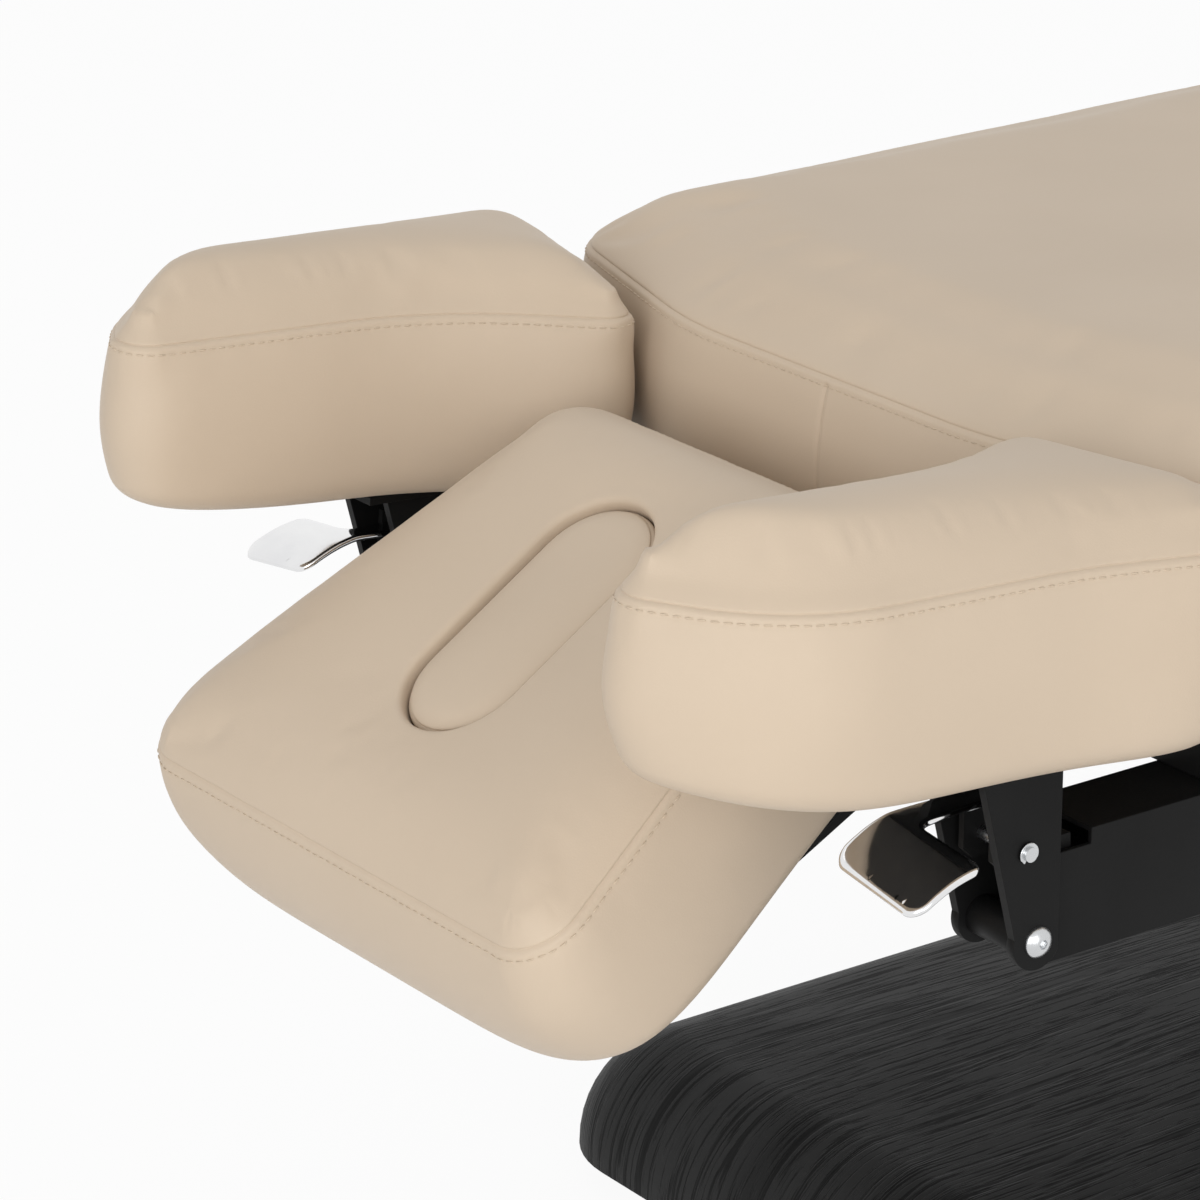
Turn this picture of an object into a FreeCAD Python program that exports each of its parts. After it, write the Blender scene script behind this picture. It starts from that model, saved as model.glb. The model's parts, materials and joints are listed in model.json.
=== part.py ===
import FreeCAD, Part
import math
import os

V = FreeCAD.Vector
os.makedirs("parts", exist_ok=True)

# Frame: floor under the middle of the lounger, X across, Y from head end to foot end, Z up

# Heights and stations of the padded top
SEAM_Z = 603.0
PAD_DEPTH = 111.0
DECK_T = 15.0
BACK_END_Y = -755.0
BACK_HINGE_Y = 50.0
LEG_HINGE_Y = 480.0
SECTION_HINGE_Z = 600.0
TOP_HALF_W = 345.0
SHOULDER_HALF_W = 322.0
SHOULDER_DROP = 54.0
BACK_FLAT_HALF = 134.0
SECTION_CORNER_R = 55.0
DECK_INSET = 25.0
BOARD_T = 12.0
BOARD_INSET = 26.0
SOFT_GAP = 0.3
PAD_GAP = 2.0

# Cushion shape: swell of the side band, tuck at its foot, rise of the top panel
BULGE = 11.0
TUCK = 14.0
CROWN = 27.0
CROWN_REACH = 50.0
CHORD = 10.0
COARSE = 30.0

# Steel sections
WALL = 3.0
RAIL_W = 51.0
RAIL_Z0 = 370.0
RAIL_Z1 = 440.0
BACK_RAIL_X = 288.0
CROSS_W = 40.0
MAIN_RAIL_X = 201.0
MAIN_RAIL_Y0 = -380.0
MAIN_RAIL_Y1 = 640.0
MAIN_DROP = 2.0
PLATE_T = 6.0

# Armrest bracket, pivot bolt and release paddle, measured from the pivot bolt
PIVOT_Y = -850.0
PIVOT_Z = 390.0
BRACKET_X = 298.0
BRACKET_GAP = 39.0
BRACKET_R = 16.0
BRACKET_REAR = 14.0
BRACKET_FRONT = 41.0
BRACKET_H = 120.0
RAIL_END_GAP = 2.0
BOLT_R = 4.75
BOLT_HEAD_R = 8.7
BOLT_HEAD_T = 5.0
PIVOT_TUBE_R = 11.0
RUN_FIT = 0.05
SIDE_PLAY = 0.3
PIN_R = 4.0
PIN_Y = -8.8
PIN_Z = 52.0
ARM_TILT = 3.0
ARM_SEAM = 214.5
ARM_DEPTH = 111.0
ARM_PLATE_T = 5.0
ARM_BULGE = 7.0
ARM_CROWN = 23.0
ARM_REACH = 24.0
ARM_BACK_GAP = 20.0
STRAP_W = 28.0
STRAP_T = 4.0
STRAP_Z = 78.0
BLADE_W = 66.0
BLADE_L = 46.0
BLADE_PITCH = 19.0
BLADE_CORNER_R = 9.0
LEFT_PADDLE_LIFT = 8.0
NOTCH_L = 28.0
NOTCH_D = 9.0
LUG_H = 26.0
LUG_L = 20.0
NUT_T = 8.0
PIN_PROUD = 3.5
NECK_DROP = 28.0
NECK_RUN = 56.0
NECK_BEND = 11.0
LEVER_HALF = 13.0
TAIL_REACH = 40.0
TAIL_RISE = 27.0
TAIL_H = 7.0
REAR_INNER_X = 156.0
REAR_OUTER_X = 353.0

# Head section, measured from its hinge shaft with the pad level
HEAD_SHAFT_Y = -762.0
HEAD_SHAFT_Z = 486.0
HEAD_SHAFT_R = 8.0
HEAD_REST = 33.0
HEAD_SEAM = 107.0
HEAD_DEPTH = 112.0
HEAD_REAR = 12.0
HEAD_LENGTH = 312.0
HEAD_FRONT_HALF = 192.0
HEAD_MID_HALF = 157.0
HEAD_REAR_HALF = 122.0
HEAD_BULGE = 7.0
HEAD_CROWN = 12.0
HEAD_REACH = 27.0
SLOT_W = 82.0
SLOT_L = 176.0
SLOT_Y = -157.0
SLOT_LEDGE = 12.0
PLUG_PLAY = 1.0
PLUG_RISE = 12.0
PLUG_CROWN = 8.0
EAR_X = 108.0
BOSS_T = 1.8
BOSS_PLAY = 0.2
ARM_FLANGE = 30.0
ARM_WEB_L = 250.0
ARM_WEB_H = 34.0
COLLAR_W = 8.0
COLLAR_R = 14.0
BOSS_R = 13.0

# Section hinges at the sides of the pads
HINGE_PLATE_SET_IN = 7.0
HINGE_PLATE_T = 5.5
HINGE_PLATE_GAP = 1.0
HINGE_PLATE_HALF = 13.0
HINGE_BOLT_R = 5.0

# Slotted cranks and linear drives
CRANK_DROP = 190.0
BACK_TRAVEL = 60.0
LEG_TRAVEL = 35.0
DRIVE_X = 60.0
DRIVE_BODY = 44.0
ROD_R = 10.0
ROLLER_R = 8.0
BACK_SLOT_PLAY = 4.6
LEG_SLOT_PLAY = 1.6
CRANK_WALL = 8.0
MOTOR_R = 22.0
MOTOR_X = 112.0
MOTOR_L = 130.0
BACK_DRIVE_L = 315.0
LEG_DRIVE_L = 245.0
GEARBOX_L = 60.0
DRIVE_CLEAR = 28.0
STEM_HALF = 18.0

# Floor base and lift columns
BASE_HALF_W = 298.0
BASE_HALF_L = 751.0
BASE_Z0 = 18.0
BASE_Z1 = 95.0
BASE_EDGE_R = 76.0
BASE_CREASE = 0.6
BASE_WALL = 12.0
BASE_TUBE = 40.0
BASE_TUBE_X = 180.0
BASE_TUBE_Z0 = 20.0
BASE_TUBE_HALF_L = 600.0
FOOT_R = 25.0
FOOT_T = 8.0
FOOT_STEM_R = 10.0
POST_W = 30.0
INLET_W = 60.0
INLET_H = 30.0
CONTROL_L = 180.0
CONTROL_W = 120.0
CONTROL_H = 42.0
TRAY_Y = 50.0
COLUMN_Y = 280.0
COLUMN_W = 160.0
COLUMN_D = 120.0
COLUMN_WALL = 4.0
COLUMN_PLAY = 0.3
COLUMN_L = 270.0
STAGE_STEP = 13.0
FLANGE_HALF = 95.0
FLANGE_T = 8.0

HINGE_PLATE_X = TOP_HALF_W - HINGE_PLATE_SET_IN
X_AXIS = V(1, 0, 0)
Y_AXIS = V(0, 1, 0)
Z_AXIS = V(0, 0, 1)
DECK_Z1 = SEAM_Z - PAD_DEPTH
DECK_Z0 = DECK_Z1 - DECK_T
MAIN_Z1 = RAIL_Z1 - MAIN_DROP
INNER_X = BRACKET_X - PLATE_T - BRACKET_GAP
MID_X = BRACKET_X - PLATE_T - BRACKET_GAP / 2
RAIL_END_Y = PIVOT_Y + BRACKET_REAR + RAIL_END_GAP


def save(shape, name):
    if shape.ShapeType == "Compound" and len(shape.Solids) == 1:
        shape = shape.Solids[0]
    shape.exportStep("parts/" + name + ".step")


def save_set(shapes, name):
    Part.makeCompound([shape.Solids[0] for shape in shapes]).exportStep("parts/" + name + ".step")


def box(x0, x1, y0, y1, z0, z1):
    return Part.makeBox(x1 - x0, y1 - y0, z1 - z0, V(x0, y0, z0))


def rod_x(x0, x1, y, z, r):
    return Part.makeCylinder(r, x1 - x0, V(x0, y, z), X_AXIS)


def rod_y(y0, y1, x, z, r):
    return Part.makeCylinder(r, y1 - y0, V(x, y0, z), Y_AXIS)


def tube_y(x0, x1, y0, y1, z0, z1):
    inner = box(x0 + WALL, x1 - WALL, y0 - 1, y1 + 1, z0 + WALL, z1 - WALL)
    return box(x0, x1, y0, y1, z0, z1).cut(inner)


def tube_x(x0, x1, y0, y1, z0, z1):
    inner = box(x0 - 1, x1 + 1, y0 + WALL, y1 - WALL, z0 + WALL, z1 - WALL)
    return box(x0, x1, y0, y1, z0, z1).cut(inner)


def hexagon(radius, base, axis, height):
    side = V(0, 1, 0) if axis.x else V(1, 0, 0)
    ring = [base + FreeCAD.Rotation(axis, 60 * k).multVec(side) * radius for k in range(6)]
    return Part.Face(Part.makePolygon(ring + ring[:1])).extrude(axis * height)


def join(shapes):
    whole = shapes[0]
    for piece in shapes[1:]:
        whole = whole.fuse(piece)
    return whole.removeSplitter()


def mirrored(shape):
    return shape.mirror(V(0, 0, 0), X_AXIS)


# Outlines: corners are (u, v, radius) taken anticlockwise, joined by straight runs and tangent arcs.
# With a chord angle, each arc is taken as short chords, which keeps soft and repeated pieces light.
def corner_arcs(corners, inset, place, chord):
    n = len(corners)
    lines = []
    for i in range(n):
        u0, v0, _ = corners[i]
        u1, v1, _ = corners[(i + 1) % n]
        length = math.hypot(u1 - u0, v1 - v0)
        du, dv = (u1 - u0) / length, (v1 - v0) / length
        lines.append((u0 - dv * inset, v0 + du * inset, du, dv))
    points, turns, radii = [], [], []
    for i in range(n):
        pu, pv, au, av = lines[i - 1]
        qu, qv, bu, bv = lines[i]
        sine = au * bv - av * bu
        t = ((qu - pu) * bv - (qv - pv) * bu) / sine
        turn = math.atan2(sine, au * bu + av * bv)
        radius = corners[i][2]
        points.append((pu + au * t, pv + av * t))
        turns.append(turn)
        radii.append(max(radius - inset, radius * 0.3) if turn > 0 else radius + inset)
    reach = [r * math.tan(abs(turn) / 2) for r, turn in zip(radii, turns)]
    room = [math.dist(points[i], points[(i + 1) % n]) / (reach[i] + reach[(i + 1) % n]) for i in range(n)]
    arcs = []
    for i in range(n):
        _, _, au, av = lines[i - 1]
        _, _, bu, bv = lines[i]
        ease = min(1.0, 0.98 * room[i - 1], 0.98 * room[i])
        start_u, start_v = points[i][0] - au * reach[i] * ease, points[i][1] - av * reach[i] * ease
        radius = math.copysign(radii[i] * ease, turns[i])
        centre_u, centre_v = start_u - av * radius, start_v + au * radius
        steps = max(1, math.ceil(abs(math.degrees(turns[i])) / chord)) if chord else 2
        arc = []
        for k in range(steps + 1):
            angle = turns[i] * k / steps
            c, d = math.cos(angle), math.sin(angle)
            out_u, out_v = start_u - centre_u, start_v - centre_v
            arc.append(place(centre_u + c * out_u - d * out_v, centre_v + d * out_u + c * out_v))
        arcs.append(arc)
    return arcs


def ring(corners, inset, place, chord):
    return [point for arc in corner_arcs(corners, inset, place, chord) for point in arc]


def outline(corners, inset, place, chord=0.0):
    if chord:
        points = ring(corners, inset, place, chord)
        return Part.makePolygon(points + points[:1])
    arcs = corner_arcs(corners, inset, place, chord)
    edges = []
    for arc, following in zip(arcs, arcs[1:] + arcs[:1]):
        edges.append(Part.Arc(*arc).toShape())
        edges.append(Part.LineSegment(arc[-1], following[0]).toShape())
    return Part.Wire(edges)


# Closed solid through a stack of rings with the same number of points
def skin(rings):
    faces = [Part.Face(Part.makePolygon(end + end[:1])) for end in (rings[0], rings[-1])]
    for low, high in zip(rings, rings[1:]):
        for i in range(len(low)):
            faces.append(Part.Face(Part.makePolygon([low[i - 1], low[i], high[i], high[i - 1], low[i - 1]])))
    shell = Part.makeShell(faces)
    shell.sewShape()
    return Part.makeSolid(shell)


def flat(corners, z0, z1, inset=0.0, chord=0.0):
    face = Part.Face(outline(corners, inset, lambda u, v: V(u, v, z0), chord))
    return face.extrude(V(0, 0, z1 - z0))


def side_plate(corners, x0, x1):
    face = Part.Face(outline(corners, 0.0, lambda u, v: V(x0, u, v)))
    return face.extrude(V(x1 - x0, 0, 0))


def polygon_plate(points, x0, x1):
    ring = [V(x0, y, z) for y, z in points]
    return Part.Face(Part.makePolygon(ring + ring[:1])).extrude(V(x1 - x0, 0, 0))


# Strip of even thickness bent along a path in the YZ plane, with the bend radius on its centre line
def ribbon(path, thickness, bend, x0, x1):
    half = thickness / 2
    sides = ([], [])
    for i, (y, z) in enumerate(path):
        before = path[max(i - 1, 0)]
        after = path[min(i + 1, len(path) - 1)]
        ahead = math.atan2(after[1] - z, after[0] - y) if after != (y, z) else None
        back = math.atan2(z - before[1], y - before[0]) if before != (y, z) else ahead
        ahead = back if ahead is None else ahead
        turn = math.atan2(math.sin(ahead - back), math.cos(ahead - back))
        normal = back + turn / 2 + math.pi / 2
        reach = half / math.cos(turn / 2)
        ends = i in (0, len(path) - 1)
        for side, sign in zip(sides, (-1, 1)):
            radius = half * 0.8 if ends else bend - sign * half * math.copysign(1, turn)
            side.append((y + sign * reach * math.cos(normal), z + sign * reach * math.sin(normal), radius))
    return side_plate(sides[0] + sides[1][::-1], x0, x1)


# Cushion: a band that swells and tucks under, closed by a crowned top panel along the seam
def cushion(corners, seam, depth, bulge, tuck, crown, reach):
    band = []
    for t in (1.0, 0.88, 0.5, 0.2, 0.0):
        inset = tuck * t ** 6 - bulge * math.sin(math.pi * t)
        band.append(ring(corners, inset, lambda u, v, z=seam - depth * t: V(u, v, z), CHORD))
    panel = []
    for s in (0.0, 0.45, 1.0):
        rise = crown * (1 - (1 - s) ** 2)
        panel.append(ring(corners, reach * s, lambda u, v, z=seam + rise: V(u, v, z), CHORD))
    return skin(band + panel[1:])


# Recess in a pad's underside for the board that its cover wraps round
def recess_for(corners, bottom):
    return flat(corners, bottom - 1, bottom + BOARD_T + SOFT_GAP, BOARD_INSET - SOFT_GAP, CHORD)


def symmetric(right_side):
    return right_side + [(-x, y, r) for x, y, r in right_side[::-1]]


def rectangle(u0, u1, v0, v1, radius):
    return [(u0, v0, radius), (u1, v0, radius), (u1, v1, radius), (u0, v1, radius)]


def stadium(width, length, y):
    half = width / 2
    return rectangle(-half, half, y - length / 2, y + length / 2, half)


# Head section, built level about its shaft and then tipped to its resting angle
def tipped(shape):
    shape.rotate(V(0, 0, 0), X_AXIS, HEAD_REST)
    shape.translate(V(0, HEAD_SHAFT_Y, HEAD_SHAFT_Z))
    return shape


head_corners = symmetric([
    (HEAD_FRONT_HALF, -HEAD_REAR - HEAD_LENGTH, 30.0),
    (HEAD_MID_HALF, -HEAD_REAR - HEAD_LENGTH * 0.47, 420.0),
    (HEAD_REAR_HALF, -HEAD_REAR, 34.0),
])
head_bottom = HEAD_SEAM - HEAD_DEPTH
board_top = head_bottom + BOARD_T
slot = stadium(SLOT_W, SLOT_L, SLOT_Y)
ledge = stadium(SLOT_W - 2 * SLOT_LEDGE, SLOT_L - 2 * SLOT_LEDGE, SLOT_Y)
head_pad = cushion(head_corners, HEAD_SEAM, HEAD_DEPTH - SOFT_GAP, HEAD_BULGE, TUCK, HEAD_CROWN, HEAD_REACH)
head_pad = head_pad.cut(flat(slot, head_bottom - 1, HEAD_SEAM + CROWN + 1, 0.0, CHORD))
head_pad = head_pad.cut(recess_for(head_corners, head_bottom))
head_board = flat(head_corners, head_bottom, board_top, BOARD_INSET, CHORD)
head_board = head_board.cut(flat(ledge, head_bottom - 1, board_top + 1, 0.0, CHORD))
plug_seam = HEAD_SEAM + PLUG_RISE
plug_corners = stadium(SLOT_W - 2 * PLUG_PLAY, SLOT_L - 2 * PLUG_PLAY, SLOT_Y)
plug_levels = ((0.0, board_top + SOFT_GAP), (0.0, plug_seam), (SLOT_W * 0.1, plug_seam + PLUG_CROWN * 0.6),
               (SLOT_W * 0.3, plug_seam + PLUG_CROWN))
plug_rings = [ring(plug_corners, inset, lambda u, v, z=z: V(u, v, z), CHORD) for inset, z in plug_levels]
breath_plug = skin(plug_rings)

arm_x0 = EAR_X + PLATE_T + BOSS_T + BOSS_PLAY
arm_x1 = arm_x0 + PLATE_T
web_low = head_bottom - ARM_WEB_H
arm_web = join([
    polygon_plate([(8, -11), (-30, web_low), (-70, web_low), (-ARM_WEB_L, head_bottom - ARM_WEB_H / 2),
                   (-ARM_WEB_L, head_bottom), (-44, head_bottom), (-42, head_bottom - WALL),
                   (-22, head_bottom - WALL), (-9, 9)], arm_x0, arm_x1),
    rod_x(arm_x0, arm_x1, 0, 0, COLLAR_R),
    box(arm_x0, arm_x0 + ARM_FLANGE, -ARM_WEB_L, -44, head_bottom - WALL, head_bottom),
]).cut(rod_x(arm_x0 - 1, arm_x1 + 1, 0, 0, HEAD_SHAFT_R + RUN_FIT))
rear_rod = rod_x(-arm_x0, arm_x0, -56, head_bottom - 20, 9)
front_rod = rod_x(-arm_x0, arm_x0, 8 - ARM_WEB_L, head_bottom - 10, 7)
for shape, name in ((head_pad, "head_pad"), (head_board, "head_board"), (breath_plug, "breath_plug")):
    save(tipped(shape), name)
save_set([tipped(arm_web), mirrored(arm_web)], "head_arms")
save_set([tipped(rear_rod), tipped(front_rod)], "head_cross_rods")

# Foot end lies as far from the middle as the head pad's front edge
FOOT_END_Y = -head_pad.BoundBox.YMin - BULGE

# Main pads and their decks
back_corners = symmetric([
    (BACK_FLAT_HALF, BACK_END_Y, 260.0),
    (SHOULDER_HALF_W, BACK_END_Y + SHOULDER_DROP, 55.0),
    (TOP_HALF_W, BACK_HINGE_Y - PAD_GAP - BULGE, SECTION_CORNER_R),
])
seat_corners = symmetric([
    (TOP_HALF_W, BACK_HINGE_Y + PAD_GAP + BULGE, SECTION_CORNER_R),
    (TOP_HALF_W, LEG_HINGE_Y - PAD_GAP - BULGE, SECTION_CORNER_R),
])
leg_corners = symmetric([
    (TOP_HALF_W, LEG_HINGE_Y + PAD_GAP + BULGE, SECTION_CORNER_R),
    (TOP_HALF_W, FOOT_END_Y, 2 * SECTION_CORNER_R),
])
for corners, name in ((back_corners, "back"), (seat_corners, "seat"), (leg_corners, "leg")):
    save(cushion(corners, SEAM_Z, PAD_DEPTH - SOFT_GAP, BULGE, TUCK, CROWN, CROWN_REACH), name + "_pad")
    save(flat(corners, DECK_Z0, DECK_Z1, DECK_INSET, CHORD), name + "_deck")


# Side plates of a section hinge: an upright to the hinge axis and a foot along the frame
def hinge_plate(hinge_y, foot_y, x0):
    y0, y1 = min(foot_y, hinge_y - HINGE_PLATE_HALF), max(foot_y, hinge_y + HINGE_PLATE_HALF)
    half = HINGE_PLATE_HALF
    crest = SECTION_HINGE_Z + half
    upright = polygon_plate([(hinge_y - half, RAIL_Z1), (hinge_y + half, RAIL_Z1),
                             (hinge_y + half, crest - half / 2), (hinge_y + half / 2, crest),
                             (hinge_y - half / 2, crest), (hinge_y - half, crest - half / 2)],
                            x0, x0 + HINGE_PLATE_T)
    foot = box(x0, x0 + HINGE_PLATE_T, y0, y1, RAIL_Z1, DECK_Z0)
    bore = rod_x(x0 - 1, x0 + HINGE_PLATE_T + 1, hinge_y, SECTION_HINGE_Z, HINGE_BOLT_R + RUN_FIT)
    plate = join([upright, foot]).cut(bore)
    return [plate, mirrored(plate)]


outer_plate_x = HINGE_PLATE_X + HINGE_PLATE_T + HINGE_PLATE_GAP


def cross(y, half, z0):
    return tube_x(-half, half, y - CROSS_W / 2, y + CROSS_W / 2, z0, DECK_Z0)


# Crank plate below a section hinge, with a slot that the drive's roller slides along
def crank(hinge_y, way, travel, play, foot_y, x):
    lean = way * math.radians(travel / 2)
    longest = CRANK_DROP / math.cos(lean)
    half = ROLLER_R + play
    wall = half + CRANK_WALL
    top, low = CRANK_DROP - half - 2, longest + half + 1
    tip_y = hinge_y + CRANK_DROP * math.tan(lean)
    tip_z = SECTION_HINGE_Z - CRANK_DROP
    side = math.copysign(1, foot_y - tip_y)
    inner_y = tip_y + side * 6
    foot = [foot_y - side * STEM_HALF, foot_y, foot_y + side * STEM_HALF]
    plates = []
    for start in (x - DRIVE_BODY / 2 - 1, x + DRIVE_BODY / 2 - PLATE_T + 1):
        edge = rectangle(-wall, wall, top - CRANK_WALL, low + CRANK_WALL, CRANK_WALL)
        blank = flat(edge, 0, PLATE_T, 0.0, COARSE)
        window = flat(rectangle(-half, half, top, low, half), -1, PLATE_T + 1, 0.0, COARSE)
        for piece in (blank, window):
            piece.rotate(V(0, 0, 0), V(1, 1, 1), 120)
            piece.rotate(V(0, 0, 0), X_AXIS, 180 + math.degrees(lean))
            piece.translate(V(start, hinge_y, SECTION_HINGE_Z))
        stem = polygon_plate([(foot[0], RAIL_Z1), (foot[0], RAIL_Z1 - WALL), (inner_y, RAIL_Z1 - WALL),
                              (inner_y, tip_z - 12), (foot[1], tip_z - 2), (foot[2], RAIL_Z1 - 14),
                              (foot[2], RAIL_Z1)], start, start + PLATE_T)
        plates.append(stem.fuse(blank).cut(window))
    return plates


# Back section frame: two rails, cross tubes, hinge plates, head hinge ears and armrest pivots
rail = tube_y(BACK_RAIL_X - RAIL_W, BACK_RAIL_X, RAIL_END_Y, BACK_HINGE_Y - CROSS_W, RAIL_Z0, RAIL_Z1)
notch = box(BACK_RAIL_X - NOTCH_L, BACK_RAIL_X + 1, RAIL_END_Y - 1, RAIL_END_Y + NOTCH_L,
            RAIL_Z1 - NOTCH_D, RAIL_Z1 + 1)
lug_block = box(BACK_RAIL_X - RAIL_W + WALL, BACK_RAIL_X - WALL, RAIL_END_Y, RAIL_END_Y + LUG_L,
                PIVOT_Z - LUG_H / 2 - 1, PIVOT_Z + LUG_H / 2 - 1)
lug_neck = box(MID_X - 10, MID_X + 10, PIVOT_Y, RAIL_END_Y + 1, PIVOT_Z - LUG_H / 3, PIVOT_Z + LUG_H / 3)
pivot_x0 = INNER_X + SIDE_PLAY
pivot_x1 = BRACKET_X - PLATE_T - SIDE_PLAY
pivot_tube = rod_x(pivot_x0, pivot_x1, PIVOT_Y, PIVOT_Z, PIVOT_TUBE_R)
pivot_bore = rod_x(pivot_x0 - 1, pivot_x1 + 1, PIVOT_Y, PIVOT_Z, BOLT_R + RUN_FIT)
side_rail = join([rail.cut(notch), lug_block, lug_neck, pivot_tube]).cut(pivot_bore)
head_cross_y = BACK_END_Y + DECK_INSET + 34
ear_y = head_cross_y - CROSS_W / 2
ear_z1 = DECK_Z0 - 1
ear = join([
    polygon_plate([(ear_y, RAIL_Z1 + 2), (ear_y, ear_z1), (HEAD_SHAFT_Y + 24, ear_z1),
                   (HEAD_SHAFT_Y + 9, HEAD_SHAFT_Z + 6), (HEAD_SHAFT_Y - 9, HEAD_SHAFT_Z - 6),
                   (HEAD_SHAFT_Y + 14, RAIL_Z1 + 2)], EAR_X, EAR_X + PLATE_T),
    rod_x(EAR_X, EAR_X + PLATE_T + BOSS_T, HEAD_SHAFT_Y, HEAD_SHAFT_Z, BOSS_R),
]).cut(rod_x(EAR_X - 1, EAR_X + PLATE_T + BOSS_T + 1, HEAD_SHAFT_Y, HEAD_SHAFT_Z, HEAD_SHAFT_R))
back_foot_y = BACK_HINGE_Y - 1.5 * CROSS_W
save_set([side_rail, mirrored(side_rail)], "back_rails")
save_set([ear, mirrored(ear)], "head_hinge_ears")
save_set([cross(y, BACK_RAIL_X, RAIL_Z1) for y in (head_cross_y, BACK_HINGE_Y - 550, BACK_HINGE_Y - 300)]
         + [cross(back_foot_y, outer_plate_x, RAIL_Z1)], "back_cross_tubes")
save_set(hinge_plate(BACK_HINGE_Y, back_foot_y - CROSS_W / 2, outer_plate_x), "back_hinge_plates")
save_set(crank(BACK_HINGE_Y, 1, BACK_TRAVEL, BACK_SLOT_PLAY, back_foot_y, -DRIVE_X), "back_cranks")

# Head hinge shaft with a clamping collar at each end
shaft_half = arm_x1 + SIDE_PLAY + COLLAR_W
collar = rod_x(arm_x1 + SIDE_PLAY, shaft_half, HEAD_SHAFT_Y, HEAD_SHAFT_Z, COLLAR_R)
shaft = rod_x(-shaft_half, shaft_half, HEAD_SHAFT_Y, HEAD_SHAFT_Z, HEAD_SHAFT_R)
save(join([shaft, collar, mirrored(collar)]), "head_hinge_shaft")

# Leg section frame
leg_foot_y = LEG_HINGE_Y + 1.5 * CROSS_W
leg_rail_y1 = FOOT_END_Y - 2 * DECK_INSET - CROSS_W
leg_rail = tube_y(BACK_RAIL_X - RAIL_W, BACK_RAIL_X, leg_foot_y - CROSS_W / 2, leg_rail_y1,
                  RAIL_Z1 - CROSS_W, RAIL_Z1)
save_set([leg_rail, mirrored(leg_rail)], "leg_rails")
leg_cross_stations = ((leg_foot_y + leg_rail_y1) / 2, leg_rail_y1 - CROSS_W / 2)
leg_crosses = [cross(y, BACK_RAIL_X, RAIL_Z1) for y in leg_cross_stations]
save_set([cross(leg_foot_y, outer_plate_x, RAIL_Z1)] + leg_crosses, "leg_cross_tubes")
save_set(hinge_plate(LEG_HINGE_Y, leg_foot_y + CROSS_W / 2, outer_plate_x), "leg_hinge_plates")
save_set(crank(LEG_HINGE_Y, -1, LEG_TRAVEL, LEG_SLOT_PLAY, leg_foot_y, DRIVE_X), "leg_cranks")

# Main frame on the lift columns: rails, seat cross tubes, hinge plates, drive mounts and column flanges
drive_z = SECTION_HINGE_Z - CRANK_DROP
back_stroke = 2 * CRANK_DROP * math.tan(math.radians(BACK_TRAVEL / 2))
leg_stroke = 2 * CRANK_DROP * math.tan(math.radians(LEG_TRAVEL / 2))
back_roller_y = BACK_HINGE_Y + back_stroke / 2
leg_roller_y = LEG_HINGE_Y - leg_stroke / 2
back_drive_y0 = back_roller_y + DRIVE_CLEAR
back_drive_y1 = back_drive_y0 + BACK_DRIVE_L
leg_drive_y1 = leg_roller_y - DRIVE_CLEAR
leg_drive_y0 = leg_drive_y1 - LEG_DRIVE_L
main_rail = tube_y(MAIN_RAIL_X - RAIL_W, MAIN_RAIL_X, MAIN_RAIL_Y0, MAIN_RAIL_Y1, RAIL_Z0, MAIN_Z1)
main_inner = MAIN_RAIL_X - RAIL_W
back_seat_y = BACK_HINGE_Y + 165
leg_seat_y = LEG_HINGE_Y - 135
mounts = [tube_x(-main_inner, -DRIVE_X + DRIVE_BODY / 2, back_drive_y1, back_drive_y1 + CROSS_W,
                 drive_z - CROSS_W / 2, drive_z + CROSS_W / 2),
          tube_x(DRIVE_X - DRIVE_BODY / 2, main_inner, leg_drive_y0 - CROSS_W, leg_drive_y0,
                 drive_z - CROSS_W / 2, drive_z + CROSS_W / 2)]
ends = [tube_x(-main_inner, main_inner, y - CROSS_W / 2, y + CROSS_W / 2, RAIL_Z0, RAIL_Z0 + CROSS_W)
        for y in (MAIN_RAIL_Y0 + CROSS_W, MAIN_RAIL_Y1 - CROSS_W)]
flanges = [box(-MAIN_RAIL_X, MAIN_RAIL_X, y - FLANGE_HALF, y + FLANGE_HALF, RAIL_Z0 - FLANGE_T, RAIL_Z0)
           for y in (-COLUMN_Y, COLUMN_Y)]
save_set([main_rail, mirrored(main_rail)], "main_rails")
save_set(ends + mounts, "main_cross_tubes")
save_set(flanges, "column_flanges")
save_set([cross(y, HINGE_PLATE_X, MAIN_Z1) for y in (back_seat_y, leg_seat_y)], "seat_cross_tubes")
save_set(hinge_plate(BACK_HINGE_Y, back_seat_y + CROSS_W / 2, HINGE_PLATE_X)
         + hinge_plate(LEG_HINGE_Y, leg_seat_y - CROSS_W / 2, HINGE_PLATE_X), "seat_hinge_plates")

# Hinge bolts through each pair of side plates
hinge_out = outer_plate_x + HINGE_PLATE_T
hinge_bolts = []
for y in (BACK_HINGE_Y, LEG_HINGE_Y):
    head_x = hinge_out + SIDE_PLAY
    nut_x = HINGE_PLATE_X - SIDE_PLAY - PLATE_T
    bolt = join([
        rod_x(nut_x, head_x, y, SECTION_HINGE_Z, HINGE_BOLT_R),
        hexagon(BOLT_HEAD_R, V(head_x, y, SECTION_HINGE_Z), X_AXIS, BOLT_HEAD_T),
        hexagon(BOLT_HEAD_R, V(nut_x, y, SECTION_HINGE_Z), X_AXIS, PLATE_T),
    ])
    hinge_bolts += [bolt, mirrored(bolt)]
save_set(hinge_bolts, "section_hinge_bolts")


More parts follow.
